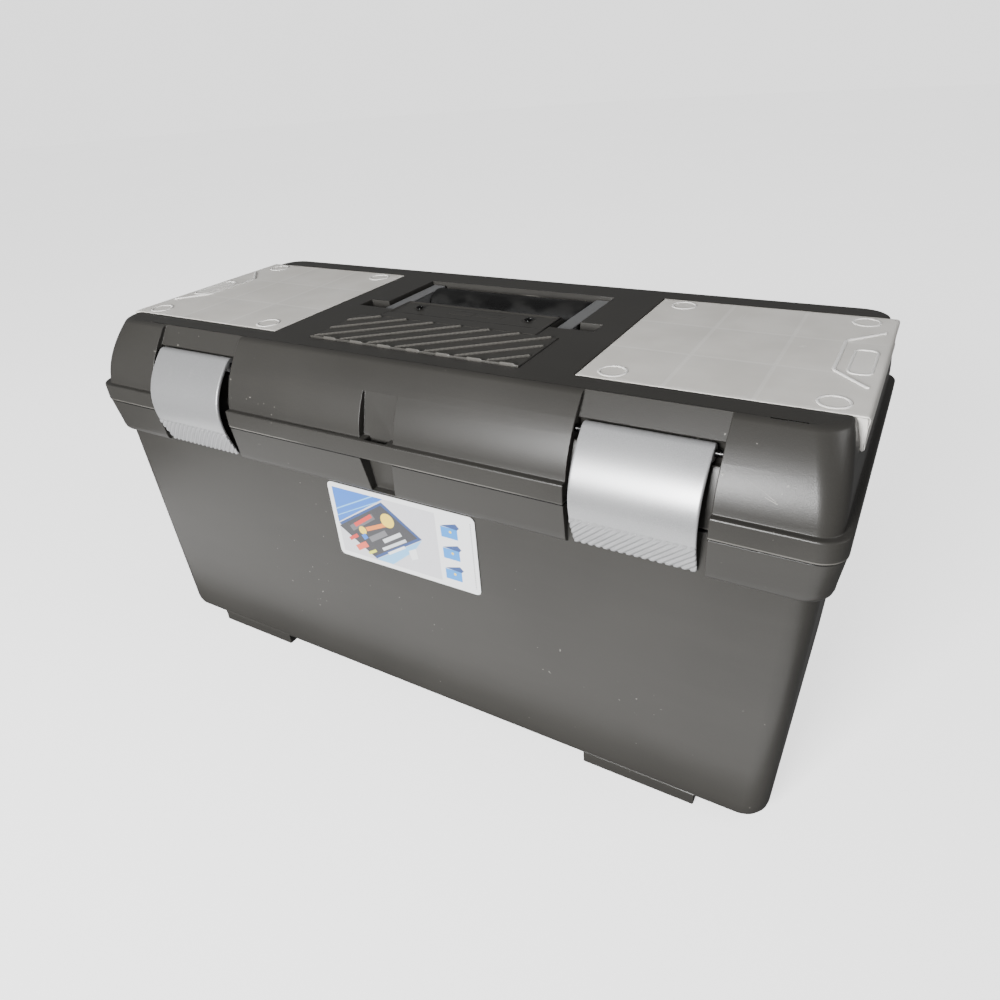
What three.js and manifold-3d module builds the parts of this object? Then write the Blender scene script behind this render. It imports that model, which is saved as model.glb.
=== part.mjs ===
// A moulded toolbox with a lift-out tote tray, two small-parts organisers in the lid and a folding
// carry handle. Millimetres: X runs along the box, the front faces -Y, Z is up and the feet stand on
// z = 0. Pieces on the left and right are made by one function, with side = -1 on the left.
import * as THREE from "three";
import { mergeVertices } from "three/addons/utils/BufferGeometryUtils.js";
import Module from "manifold-3d";

const wasm = await Module();
wasm.setup();

// ---- Driving sizes --------------------------------------------------------------------------
const LENGTH = 600; // over the rims of body and lid
const DEPTH = 254; // over the rims, front to back
const RIM_Z = 234.4; // parting line between body and lid
const LID_RISE = 62.6; // parting line to the flat top of the lid
const WALL = 3; // shell of the body and the lid
const SEAM = 0.4; // gap between the closed lid and the body
const FIT = 0.4; // clearance round a piece that drops into or turns in another
const BIG = 400; // longer than any cut that runs out of the box

const HALF_X = LENGTH / 2;
const HALF_Y = DEPTH / 2;
const LID_TOP = RIM_Z + LID_RISE;
const CORNER_R = 16; // upright corners at the rims

// Body: a drafted box whose wall steps outwards into an apron under the rim.
const BODY = { insetX: 9, insetY: 7.5, draftX: 5.5, draftY: 2.5, bottomRoundX: 9, bottomRoundY: 3 };
const BODY_ROUND = { rise: 9, corner: 12 }; // rounding between the floor and the walls
const APRON_ROUND = { rise: 9, out: 3 }; // rounding under the apron
const FOOT = { step: 7, near: 151.8, far: 237.4 };
const APRON = { drop: 30, topInset: 0.5, lean: 2.4, ledgeDrop: 25.4 };

// Lid: a band above the parting line, a ledge, and a crowned shell up to the flat top.
const BAND = { height: 14.2, edge: 0.8, ledge: 4.5 };
const CROWN = { frontLean: 6.3, frontCurve: 19.6, end: 7.5, back: 3, cornerGrowth: 5 };
const CROWN_EDGE = { out: 3.4, drop: 2.1 }; // rounding between the crown and the flat top
const LIP = { thick: 2, drop: 3 };

// Hinge: two knuckle groups at the back on the parting line.
const HINGE = { x: 190, half: 24, lidHalf: 11, radius: 4, pin: 1.6, bore: 2 };
const HINGE_Y = HALF_Y + 0.4;

// Latches: curved flaps that turn on a pin near the top edge of the lid.
const LATCH = { x: 186, width: 77.6, sideGap: 4.8, barrel: 5.5, sweep: 1.3, wall: 2.8, pin: 2, bore: 2.4 };
const LATCH_PIVOT = { y: -HALF_Y + 20.5, z: LID_TOP - 19.5 };
const LATCH_BELLY = { y: -HALF_Y - 4, z: RIM_Z + 7 };
const LATCH_TIP = { y: -HALF_Y + 5.6, z: RIM_Z - 26.6 };
const PIN_HOLD = 5; // how far a latch pin or a handle pin enters the lid at each end

// Padlock station at the middle of the front.
const STATION = { half: 14.4, top: 18.5, face: 9.5, lean: 8.3, slotHalf: 9, slotDepth: 6.5, drop: 27 };
const STATION_FOOT = 10; // half width of the notch at its narrow foot

// Organisers: each is a box of three by three cells with a clear cover, in a pocket of the lid.
const ORG = { near: 127, endInset: 5.1, front: 52.2, back: 29.4, depth: 45, wall: 1.6, cells: 3 };
const ORG_COVER = { thick: 1.6, bead: 1.3, flap: 19.5, boxGap: 3.2, endGap: 12 };

// Grip plate, its panel, and the carry handle in the well behind it.
const PLATE = { half: 88.5, front: 50.5, depth: 59.5, sheet: 1.6, recess: 1.5, rib: 2.2, ribRise: 2.2 };
const RIBS = { pitch: 25, first: -138, count: 9, angle: 38.7 };
const PANEL = { half: 70, behind: 14, depth: 29, screwX: 49.7, screwIn: 15 };
const HANDLE = { armX: 79.5, armWidth: 12, reach: 57.5, boss: 6, grip: 15.5, core: 6, below: 2.5 };
const HANDLE_PIN = { radius: 3.2, bore: 3.7, slotOut: 18, slotHalf: 8 };
const WELL_GAP = 2.5; // round the folded handle
const SCREW = { head: 3.5, headHeight: 1.4, shank: 1.9, length: 13, bore: 2.3, boss: 5 };

// Tote tray: rests on the ledge inside the apron.
const TRAY = { wall: 2, depth: 42, flange: 2.5, reachX: 4, reachY: 2, taper: 3, spine: 5 };
const TRAY_HANDLE = { half: 90, rise: 23, bar: 14, barDepth: 10, slotHalf: 50, slotHeight: 19 };
const TRAY_SHARES = { front: [0, 1 / 3, 2 / 3, 1], back: [0, 2 / 3, 1] }; // dividers of the two rows

// Label on the front wall.
const LABEL = { left: -57, right: 73, top: 31.2, height: 67, thick: 0.4, corner: 4, gap: 0.3 };

// ---- Materials ------------------------------------------------------------------------------
const finish = (color, roughness, metalness = 0) =>
  new THREE.MeshStandardMaterial({ color, roughness, metalness });
const GRAPHITE = finish(0x4a4a46, 0.55);
const PLATE_GREY = finish(0x50504c, 0.45);
const SILVER = finish(0xb9bcbd, 0.4, 0.3);
const ARM_GREY = finish(0x8b8d8c, 0.4, 0.2);
const GRIP_BLACK = finish(0x17181a, 0.3);
const CLEAR = finish(0xc9cbc3, 0.3);
const NATURAL = finish(0xb4b6ae, 0.45);
const TRAY_GREY = finish(0x3c3d3b, 0.6);
const STEEL = finish(0x9a9c9e, 0.3, 1);
const PAPER = finish(0xe6e8ea, 0.5);

// ---- Solids ---------------------------------------------------------------------------------
// A closed three.js geometry as a manifold solid: only its positions are kept, and they are merged.
function solid(geometry) {
  const bare = geometry.index ? geometry.toNonIndexed() : geometry.clone();
  bare.deleteAttribute("normal");
  bare.deleteAttribute("uv");
  const merged = mergeVertices(bare, 1e-4);
  const triVerts = new Uint32Array(merged.index.array);
  const vertProperties = new Float32Array(merged.attributes.position.array);
  return new wasm.Manifold(new wasm.Mesh({ numProp: 3, vertProperties, triVerts }));
}

const join = (first, ...others) => others.reduce((sum, piece) => sum.add(piece), first);
const cut = (first, ...tools) => tools.reduce((left, tool) => left.subtract(tool), first);

function box(x, y, z) {
  const [low, high] = [Math.min(...x), Math.max(...x)];
  const geometry = new THREE.BoxGeometry(high - low, y[1] - y[0], z[1] - z[0]);
  return solid(geometry.translate((low + high) / 2, (y[0] + y[1]) / 2, (z[0] + z[1]) / 2));
}

// A round bar along X, along Y or along Z, from one end to the other.
function barX(radius, x, y, z, sides = 12) {
  const [low, high] = [Math.min(...x), Math.max(...x)];
  const geometry = new THREE.CylinderGeometry(radius, radius, high - low, sides).rotateZ(Math.PI / 2);
  return solid(geometry.translate((low + high) / 2, y, z));
}

function barY(radius, x, y, z, sides = 12) {
  const geometry = new THREE.CylinderGeometry(radius, radius, y[1] - y[0], sides);
  return solid(geometry.translate(x, (y[0] + y[1]) / 2, z));
}

function barZ(radius, x, y, z, sides = 16) {
  const geometry = new THREE.CylinderGeometry(radius, radius, z[1] - z[0], sides).rotateX(Math.PI / 2);
  return solid(geometry.translate(x, y, (z[0] + z[1]) / 2));
}

// A side view, as points [y, z], carried along X.
function prismX(outline, x) {
  const [low, high] = [Math.min(...x), Math.max(...x)];
  const shape = new THREE.Shape(outline.map(([y, z]) => new THREE.Vector2(y, z)));
  const geometry = new THREE.ExtrudeGeometry(shape, { depth: high - low, bevelEnabled: false });
  // The shape's own axes x, y and its depth become Y, Z and X.
  const turn = new THREE.Matrix4().set(0, 0, 1, low, 1, 0, 0, 0, 0, 1, 0, 0, 0, 0, 0, 1);
  return solid(geometry.applyMatrix4(turn));
}

// A front view, as points [x, z], carried along Y.
function prismY(outline, y) {
  const shape = new THREE.Shape(outline.map(([x, z]) => new THREE.Vector2(x, z)));
  const geometry = new THREE.ExtrudeGeometry(shape, { depth: y[1] - y[0], bevelEnabled: false });
  return solid(geometry.rotateX(Math.PI / 2).translate(0, y[1], 0));
}

// One level of a lofted shell: a rectangle with round corners, seen from above.
function levelOutline({ halfX, front, back, radius }) {
  const shape = new THREE.Shape();
  shape.absarc(halfX - radius, back - radius, radius, 0, Math.PI / 2);
  shape.absarc(-halfX + radius, back - radius, radius, Math.PI / 2, Math.PI);
  shape.absarc(-halfX + radius, front + radius, radius, Math.PI, 1.5 * Math.PI);
  shape.absarc(halfX - radius, front + radius, radius, 1.5 * Math.PI, 2 * Math.PI);
  return shape.getPoints(6);
}

// A solid through a stack of levels, lowest first, closed with a flat face at each end.
function loft(levels) {
  const rings = levels.map(levelOutline);
  const count = rings[0].length;
  const positions = rings.flatMap((ring, i) => ring.flatMap((p) => [p.x, p.y, levels[i].z]));
  const faces = THREE.ShapeUtils.triangulateShape(rings[0], []);
  const lastStart = (rings.length - 1) * count;
  const index = faces.flatMap(([a, b, c]) => [a, c, b, a + lastStart, b + lastStart, c + lastStart]);
  for (let ring = 0; ring < rings.length - 1; ring++) {
    for (let i = 0; i < count; i++) {
      const a = ring * count + i;
      const b = ring * count + ((i + 1) % count);
      index.push(a, b, b + count, a, b + count, a + count);
    }
  }
  const geometry = new THREE.BufferGeometry();
  geometry.setAttribute("position", new THREE.Float32BufferAttribute(positions, 3));
  geometry.setIndex(index);
  return solid(geometry);
}

function level(z, insetX, insetFront, insetBack, radius) {
  return { z, halfX: HALF_X - insetX, front: -HALF_Y + insetFront, back: HALF_Y - insetBack, radius };
}

const toolbox = new THREE.Group();

function place(name, made, material) {
  const data = made.getMesh();
  const geometry = new THREE.BufferGeometry();
  geometry.setAttribute("position", new THREE.Float32BufferAttribute(data.vertProperties, 3));
  geometry.setIndex(new THREE.Uint32BufferAttribute(data.triVerts, 1));
  const mesh = new THREE.Mesh(geometry, material);
  mesh.name = name;
  toolbox.add(mesh);
}

const SIDES = [
  [-1, "left"],
  [1, "right"],
];
const bothSides = (make) => SIDES.map(([side]) => make(side));

// ---- Latch shape, shared by the latch and the recess that clears it -------------------------
const LATCH_HALF = LATCH.width / 2;
const RECESS_HALF = LATCH_HALF + LATCH.sideGap;
const RECESS_TOP_Y = -HALF_Y + 33.6;
const RECESS_BACK_Y = -HALF_Y + 9; // recess face beside the belly of the latch
const WALL_TOP_Y = -HALF_Y + BODY.insetY; // front wall of the body just under the apron
const PAD = 3.6; // material beyond a recess, so that the shell keeps its wall there

const STATION_Y = -HALF_Y + STATION.face; // back of the padlock notch in the body and slot in the lid
const RECESS_STEP = 27; // below the latch pin, where the recess face turns upright
const PASSING = 0.8; // the tray rises past every pad with this clearance

const latchSpan = (side, half) => [side * LATCH.x - half, side * LATCH.x + half];

// The outer curve leaves the barrel at 45 degrees, bulges at the belly and tucks in at the tip.
function latchCurve() {
  const reach = LATCH.barrel * Math.SQRT1_2;
  const start = new THREE.Vector2(LATCH_PIVOT.y - reach, LATCH_PIVOT.z + reach);
  const belly = new THREE.Vector2(LATCH_BELLY.y, LATCH_BELLY.z);
  const tip = new THREE.Vector2(LATCH_TIP.y, LATCH_TIP.z);
  const upper = new THREE.CubicBezierCurve(
    start,
    new THREE.Vector2(start.x - 10, start.y - 10),
    new THREE.Vector2(belly.x, belly.y + 17),
    belly,
  );
  const lower = new THREE.CubicBezierCurve(
    belly,
    new THREE.Vector2(belly.x, belly.y - 13),
    new THREE.Vector2(tip.x - 4.5, tip.y + 11),
    tip,
  );
  return [upper, lower];
}

// The flap's side view: the outer curve, then the same curve moved inwards by the wall. The wall
// thins towards the tip, where the flap lies close to the body.
function latchOutline() {
  const outer = [];
  const inner = [];
  latchCurve().forEach((curve, part) => {
    const steps = 7;
    for (let i = part; i <= steps; i++) {
      const t = i / steps;
      const p = curve.getPoint(t);
      const along = curve.getTangent(t);
      const wall = part ? LATCH.wall - 1.4 * t * t : LATCH.wall;
      outer.push([p.x, p.y]);
      inner.push([p.x - along.y * wall, p.y + along.x * wall]);
    }
  });
  return [...outer, ...inner.reverse()];
}

function latch(side) {
  const x = latchSpan(side, LATCH_HALF);
  const flap = prismX(latchOutline(), x);
  const barrel = barX(LATCH.barrel, x, LATCH_PIVOT.y, LATCH_PIVOT.z, 20);
  const bore = barX(LATCH.bore, latchSpan(side, BIG), LATCH_PIVOT.y, LATCH_PIVOT.z);
  return cut(join(flap, barrel), bore);
}

function latchPin(side) {
  return barX(LATCH.pin, latchSpan(side, RECESS_HALF + PIN_HOLD), LATCH_PIVOT.y, LATCH_PIVOT.z);
}

// The recess in the lid: a sloping face above the barrel, a round seat that the barrel and the top of
// the flap turn in, and a face behind the belly.
function lidLatchRecess(side) {
  const x = latchSpan(side, RECESS_HALF);
  const { y, z } = LATCH_PIVOT;
  const outline = [
    [-BIG, RIM_Z - 1],
    [RECESS_BACK_Y, RIM_Z - 1],
    [RECESS_BACK_Y, z - RECESS_STEP],
    [y - 5, z - 9],
    [y, z],
    [y + 3.3, z + 5.6],
    [RECESS_TOP_Y, LID_TOP],
    [RECESS_TOP_Y, LID_TOP + 5],
    [-BIG, LID_TOP + 5],
  ];
  const seat = barX(LATCH.barrel + LATCH.sweep, x, y, z, 20);
  const pinHoles = barX(LATCH.bore, latchSpan(side, RECESS_HALF + PIN_HOLD + 1), y, z);
  return join(prismX(outline, x), seat, pinHoles);
}

function lidLatchPad(side) {
  const { y, z } = LATCH_PIVOT;
  const deep = y + LATCH.barrel + LATCH.sweep + WALL + 0.4;
  const outline = [
    [-BIG, RIM_Z - 5],
    [RECESS_BACK_Y + WALL, RIM_Z - 5],
    [RECESS_BACK_Y + WALL, z - RECESS_STEP],
    [y + 2, z - 13],
    [deep, z - 9],
    [deep, z + 9],
    [RECESS_TOP_Y + WALL, LID_TOP],
    [-BIG, LID_TOP],
  ];
  return prismX(outline, latchSpan(side, RECESS_HALF + PIN_HOLD + PAD));
}

const bodyLatchRecess = (side) =>
  box(latchSpan(side, RECESS_HALF), [-BIG, WALL_TOP_Y], [RIM_Z - APRON.drop - 5, RIM_Z + 5]);

const bodyLatchPad = (side) =>
  box(latchSpan(side, RECESS_HALF + PAD), [-BIG, WALL_TOP_Y + WALL], [0, RIM_Z + 5]);

// ---- Hinge ----------------------------------------------------------------------------------
const hingeSpan = (side, from, to) => [side * HINGE.x + from, side * HINGE.x + to];

function hingeKnuckle(side, from, to, extra = 0) {
  return barX(HINGE.radius + extra, hingeSpan(side, from, to), HINGE_Y, RIM_Z);
}

// The hinge's two groups of knuckles, and the space round them, widened by extra at both ends.
const hingeWidth = (side, extra) => hingeSpan(side, -HINGE.half - extra, HINGE.half + extra);

const hingeBore = (side) => barX(HINGE.bore, hingeWidth(side, 4), HINGE_Y, RIM_Z);

const HINGE_PAD_Y = HALF_Y - 9.5;
const HINGE_PAD_TOP = RIM_Z + 11;
const HINGE_PAD_SIDE = 6;
const hingePad = (side) => box(hingeWidth(side, HINGE_PAD_SIDE), [HINGE_PAD_Y, BIG], [0, HINGE_PAD_TOP]);

const outerKnuckles = (side, extra = 0) =>
  join(
    hingeKnuckle(side, -HINGE.half - extra, -HINGE.lidHalf - FIT + extra, extra),
    hingeKnuckle(side, HINGE.lidHalf + FIT - extra, HINGE.half + extra, extra),
  );

const lidKnuckle = (side, extra = 0) =>
  hingeKnuckle(side, -HINGE.lidHalf - extra, HINGE.lidHalf + extra, extra);

// ---- Body -----------------------------------------------------------------------------------
const LEDGE_Z = RIM_Z - APRON.ledgeDrop; // inside ledge that carries the tray
const APRON_Z = RIM_Z - APRON.drop;
const WALL_FRONT_SLOPE = BODY.draftY / (APRON_Z - FOOT.step);

// The drafted walls, and below them a rounding in which the section grows as a quarter circle does.
function bodyLevels(skin) {
  const { insetX, insetY, draftX, draftY, bottomRoundX, bottomRoundY } = BODY;
  const base = FOOT.step + skin;
  const at = (z, x, y, radius) => level(z, x + skin, y + skin, y + skin, radius - skin);
  const rounding = quarterSteps().map(([out, up]) => {
    const x = insetX + draftX + bottomRoundX * (1 - out);
    const y = insetY + draftY + bottomRoundY * (1 - out);
    return at(base + BODY_ROUND.rise * up, x, y, BODY_ROUND.corner + (CORNER_R - BODY_ROUND.corner) * out);
  });
  return [...rounding, at(APRON_Z, insetX, insetY, CORNER_R)];
}

// A quarter circle from its foot, as shares [out, up] that both run from 0 to 1.
function quarterSteps() {
  const steps = 4;
  return Array.from({ length: steps + 1 }, (_, i) => {
    const angle = (i / steps) * (Math.PI / 2);
    return [Math.sin(angle), 1 - Math.cos(angle)];
  });
}

function bodyOuter() {
  const { topInset, lean } = APRON;
  const low = topInset + lean;
  const apron = quarterSteps().map(([out, up]) => {
    const inset = low + APRON_ROUND.out * (1 - out);
    return level(APRON_Z + 1 + (APRON_ROUND.rise - 1) * up, inset, inset, inset, CORNER_R);
  });
  return loft([
    ...bodyLevels(0),
    ...apron,
    level(RIM_Z - SEAM / 2, topInset, topInset, topInset, CORNER_R),
  ]);
}

function bodyCavity() {
  const { topInset, lean } = APRON;
  const { insetX, insetY } = BODY;
  const low = topInset + lean / 2 + WALL;
  const high = topInset + WALL;
  const radius = CORNER_R - WALL;
  const rim = level(RIM_Z + 5, insetX + WALL, insetY + WALL, insetY + WALL, radius);
  const lower = loft([...bodyLevels(WALL), rim]);
  const upper = loft([level(LEDGE_Z, low, low, low, radius), level(RIM_Z + 5, high, high, high, radius)]);
  return join(lower, cut(upper, ...bothSides(bodyLatchPad), ...bothSides(hingePad), stationPad()));
}

// A tapered notch in the apron, in line with the slot in the lid, for a padlock's shackle.
function stationNotch() {
  const { half, drop } = STATION;
  const outline = [
    [-STATION_FOOT, RIM_Z - drop],
    [STATION_FOOT, RIM_Z - drop],
    [half, RIM_Z + 5],
    [-half, RIM_Z + 5],
  ];
  return prismY(outline, [-BIG, STATION_Y]);
}

const stationWidth = (extra) => [-STATION.half - extra, STATION.half + extra];
const stationPad = () => box(stationWidth(PAD), [-BIG, STATION_Y + WALL], [0, RIM_Z + 5]);

function foot(side) {
  const front = -HALF_Y + BODY.insetY + BODY.draftY;
  return box([side * FOOT.near, side * FOOT.far], [front, -front], [0, FOOT.step + WALL]);
}

function footHollow(side) {
  const front = -HALF_Y + BODY.insetY + BODY.draftY + 2 * WALL;
  const x = [side * (FOOT.near + WALL), side * (FOOT.far - WALL)];
  return box(x, [front, -front], [WALL, FOOT.step + 2 * WALL]);
}

function bodyShell() {
  const shell = cut(join(bodyOuter(), ...bothSides(foot)), bodyCavity(), ...bothSides(footHollow));
  const lidClearance = bothSides((s) => lidKnuckle(s, FIT));
  const cleared = cut(shell, ...bothSides(bodyLatchRecess), stationNotch(), ...lidClearance);
  return cut(join(cleared, ...bothSides((s) => outerKnuckles(s))), ...bothSides(hingeBore));
}

// ---- Lid ------------------------------------------------------------------------------------
const LEDGE_TOP = RIM_Z + BAND.height;
const CROWN_RISE = LID_TOP - LEDGE_TOP;

// A level of the crowned part. share runs from 0 at the ledge to 1 at the flat top: the front leans
// back in proportion and curves with the square of the height, and the ends and back only curve.
function crownLevel(share, skin, extra = 0) {
  const square = share * share;
  const inset = BAND.ledge + skin + extra;
  const front = inset + CROWN.frontLean * share + CROWN.frontCurve * square;
  const radius = CORNER_R - WALL - skin / 2 + CROWN.cornerGrowth * share;
  const z = LEDGE_TOP + share * CROWN_RISE;
  return level(z, inset + CROWN.end * square, front, inset + CROWN.back * square, radius);
}

function lidOuter() {
  const bottom = RIM_Z + SEAM / 2;
  const topShare = 1 - CROWN_EDGE.drop / CROWN_RISE;
  const steps = 12;
  const crown = Array.from({ length: steps }, (_, i) => crownLevel((i / steps) * topShare, 0));
  const edge = quarterSteps().map(([up, out]) =>
    crownLevel(topShare + (1 - topShare) * up, 0, CROWN_EDGE.out * out),
  );
  return loft([
    level(bottom, 0, 0, 0, CORNER_R),
    level(LEDGE_TOP - BAND.edge, 0, 0, 0, CORNER_R),
    level(LEDGE_TOP, BAND.edge, BAND.edge, BAND.edge, CORNER_R),
    ...crown,
    ...edge,
  ]);
}

function lidCavity() {
  const topShare = 1 - WALL / CROWN_RISE;
  const steps = 8;
  const crown = Array.from({ length: steps + 1 }, (_, i) => crownLevel((i / steps) * topShare, WALL));
  const low = { ...crown[0], z: RIM_Z - 5 };
  return loft([low, ...crown]);
}

// The locating lip that hangs inside the body's rim, broken where the body has a pad.
function lidLip() {
  const inset = BAND.ledge + WALL;
  const low = RIM_Z - LIP.drop;
  const ring = (extra, z) => level(z, inset + extra, inset + extra, inset + extra, CORNER_R - WALL);
  const outer = loft([ring(-LIP.thick, low), ring(-LIP.thick, RIM_Z + 2)]);
  const inner = loft([ring(0, low - 1), ring(0, RIM_Z + 3)]);
  const gap = PAD + 1;
  const front = [-BIG, -HALF_Y + 20];
  const z = [0, RIM_Z + 0.5];
  return cut(
    outer,
    inner,
    ...bothSides((s) => box(latchSpan(s, RECESS_HALF + gap), front, z)),
    ...bothSides((s) => box(hingeWidth(s, HINGE_PAD_SIDE + 1), [HALF_Y - 20, BIG], z)),
    box(stationWidth(gap), front, z),
  );
}

// Organiser pockets: open at the top, and at the end above a low sill.
const POCKET_FLOOR = LID_TOP - ORG.depth;
const POCKET_END = HALF_X - ORG_COVER.endGap;
const SILL_Z = LID_TOP - ORG_COVER.flap - 1;
const ORG_FRONT = -HALF_Y + ORG.front;
const ORG_BACK = HALF_Y - ORG.back;
const ORG_END = HALF_X - ORG.endInset;

function pocket(side) {
  const y = [ORG_FRONT - FIT, ORG_BACK + FIT];
  const hollow = box([side * (ORG.near - FIT - 0.2), side * POCKET_END], y, [POCKET_FLOOR, LID_TOP + 5]);
  const window = box([side * (POCKET_END - 1), side * (HALF_X + 5)], y, [SILL_Z, LID_TOP + 5]);
  return join(hollow, window);
}

function pocketPad(side) {
  const y = [ORG_FRONT - FIT - WALL, ORG_BACK + FIT + WALL];
  return box([side * (ORG.near - FIT - WALL), side * BIG], y, [POCKET_FLOOR - WALL, LID_TOP]);
}

// Handle well: a deep trough for the grip, two slots for the arms and two side slots for the pins.
const PLATE_FRONT = -HALF_Y + PLATE.front;
const PLATE_BACK = PLATE_FRONT + PLATE.depth;
const PANEL_FRONT = PLATE_BACK + PANEL.behind;
const PANEL_BACK = PANEL_FRONT + PANEL.depth;
const SCREW_Y = PANEL_FRONT + PANEL.screwIn;
const ARM_TOP = LID_TOP - HANDLE.below;
const ARM_OUT = HANDLE.armX + HANDLE.armWidth / 2;
const ARM_IN = HANDLE.armX - HANDLE.armWidth / 2;
const PIVOT = { y: PANEL_FRONT + 16, z: ARM_TOP - HANDLE.boss };
const GRIP = { y: PIVOT.y + HANDLE.reach, z: ARM_TOP - HANDLE.grip };
const WELL = {
  half: ARM_OUT + WELL_GAP,
  front: PANEL_BACK + 2,
  back: GRIP.y + HANDLE.grip + WELL_GAP,
  floor: GRIP.z - HANDLE.grip - WELL_GAP,
  slotFloor: PIVOT.z - HANDLE.boss - 10,
  slotFront: PIVOT.y - HANDLE.boss - WELL_GAP,
};
const PIN_END = WELL.half + HANDLE_PIN.slotOut + PIN_HOLD - 1;

function handleWell() {
  const open = LID_TOP + 5;
  const deep = box([-WELL.half, WELL.half], [WELL.front, WELL.back], [WELL.floor, open]);
  const slotY = [WELL.slotFront, WELL.front + 1];
  const armSlot = (s) => box([s * (ARM_IN - WELL_GAP), s * WELL.half], slotY, [WELL.slotFloor, open]);
  const pinSlot = (s) => {
    const y = [PIVOT.y - HANDLE_PIN.slotHalf, PIVOT.y + HANDLE_PIN.slotHalf];
    const z = [PIVOT.z - HANDLE_PIN.slotHalf, open];
    return box([s * (WELL.half - 1), s * (WELL.half + HANDLE_PIN.slotOut)], y, z);
  };
  const pinHoles = barX(HANDLE_PIN.bore, [-PIN_END - 1, PIN_END + 1], PIVOT.y, PIVOT.z);
  const between = box([-ARM_IN + WELL_GAP, ARM_IN - WELL_GAP], [PIVOT.y - 9, PIVOT.y + 9], [0, LID_TOP]);
  return join(deep, ...bothSides(armSlot), ...bothSides(pinSlot), cut(pinHoles, between));
}

function wellPad() {
  const half = WELL.half + WALL;
  const deep = box([-half, half], [WELL.front - WALL, WELL.back + WALL], [WELL.floor - WALL, LID_TOP]);
  const slotY = [WELL.slotFront - WALL, WELL.front];
  const armPad = (s) =>
    box([s * (ARM_IN - WELL_GAP - WALL), s * half], slotY, [WELL.slotFloor - WALL, LID_TOP]);
  const pinPad = (s) => {
    const y = [PIVOT.y - HANDLE_PIN.slotHalf - WALL, PIVOT.y + HANDLE_PIN.slotHalf + WALL];
    const z = [PIVOT.z - HANDLE_PIN.slotHalf - WALL, LID_TOP];
    return box([s * WELL.half, s * (PIN_END + 1 + WALL)], y, z);
  };
  const screwBoss = (s) =>
    barZ(SCREW.boss, s * PANEL.screwX, SCREW_Y, [LID_TOP - SCREW.length - 4, LID_TOP]);
  return join(deep, ...bothSides(armPad), ...bothSides(pinPad), ...bothSides(screwBoss));
}

// Shallow seats in the lid for the grip plate and its panel, with the screw holes.
function plateSeat() {
  const z = [LID_TOP - PLATE.recess, LID_TOP + 5];
  const plate = box([-PLATE.half - FIT, PLATE.half + FIT], [PLATE_FRONT - FIT, PLATE_BACK + FIT], z);
  const panel = box([-PANEL.half - FIT, PANEL.half + FIT], [PLATE_BACK, PANEL_BACK + FIT], z);
  const hole = (s) => {
    const depth = [LID_TOP - SCREW.length - 1, LID_TOP + 1];
    return barZ(SCREW.bore, s * PANEL.screwX, SCREW_Y, depth);
  };
  return join(plate, panel, ...bothSides(hole));
}

// Padlock station in the lid: a flat face let into the crown, and a slot down through the ledge.
function lidStation() {
  const { half, top, lean, slotHalf, slotDepth } = STATION;
  const outline = [
    [-BIG, LEDGE_TOP],
    [STATION_Y, LEDGE_TOP],
    [STATION_Y + lean, LID_TOP - top],
    [-BIG, LID_TOP - top + 8],
  ];
  const slot = box([-slotHalf, slotHalf], [STATION_Y - slotDepth, STATION_Y], [RIM_Z - 5, LEDGE_TOP + 1]);
  return join(prismX(outline, [-half, half]), slot);
}

const lidStationPad = () => {
  const back = STATION_Y + WALL;
  const outline = [
    [-BIG, RIM_Z - 6],
    [back, RIM_Z - 6],
    [back, LEDGE_TOP],
    [back + STATION.lean, LID_TOP - STATION.top],
    [-BIG, LID_TOP],
  ];
  return prismX(outline, [-STATION.half - PAD, STATION.half + PAD]);
};

function lidShell() {
  const pads = [
    ...bothSides(lidLatchPad),
    ...bothSides(pocketPad),
    ...bothSides(hingePad),
    lidStationPad(),
    wellPad(),
  ];
  const shell = join(cut(lidOuter(), cut(lidCavity(), ...pads)), lidLip());
  const cleared = cut(
    shell,
    ...bothSides(lidLatchRecess),
    ...bothSides(pocket),
    ...bothSides((s) => outerKnuckles(s, FIT)),
    lidStation(),
    handleWell(),
    plateSeat(),
  );
  return cut(join(cleared, ...bothSides((s) => lidKnuckle(s))), ...bothSides(hingeBore));
}

// ---- Grip plate and its screws --------------------------------------------------------------
// The plate's ribs run diagonally at one pitch and are trimmed to its outline.
function gripPlate() {
  const low = LID_TOP - PLATE.recess + FIT - 0.1;
  const sheetTop = low + PLATE.sheet;
  const ribTop = sheetTop + PLATE.ribRise;
  const angle = THREE.MathUtils.degToRad(RIBS.angle);
  const ribs = Array.from({ length: RIBS.count }, (_, i) => {
    const length = 2 * PLATE.depth;
    const bar = new THREE.BoxGeometry(length, PLATE.rib, PLATE.ribRise + 0.4).translate(length / 2, 0, 0);
    const x = RIBS.first + i * RIBS.pitch;
    return solid(bar.rotateZ(angle).translate(x, PLATE_FRONT, ribTop - (PLATE.ribRise + 0.4) / 2));
  });
  const inner = box([-PLATE.half, PLATE.half], [PLATE_FRONT, PLATE_BACK], [low, ribTop + 1]);
  const sheet = box([-PLATE.half, PLATE.half], [PLATE_FRONT, PLATE_BACK], [low, sheetTop]);
  const nose = box([-PLATE.half, PLATE.half], [PLATE_FRONT, PLATE_FRONT + 1.6], [low, ribTop - 0.8]);
  const panel = box([-PANEL.half, PANEL.half], [PLATE_BACK - 1, PANEL_BACK], [low, sheetTop]);
  const lip = box([-PANEL.half, PANEL.half], [PANEL_BACK - 2, PANEL_BACK], [low, sheetTop + 0.8]);
  const whole = join(sheet, nose, panel, lip, ...ribs.map((rib) => rib.intersect(inner)));
  const hole = (s) => barZ(SCREW.bore, s * PANEL.screwX, SCREW_Y, [low - 5, ribTop + 5]);
  return cut(whole, ...bothSides(hole));
}

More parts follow.
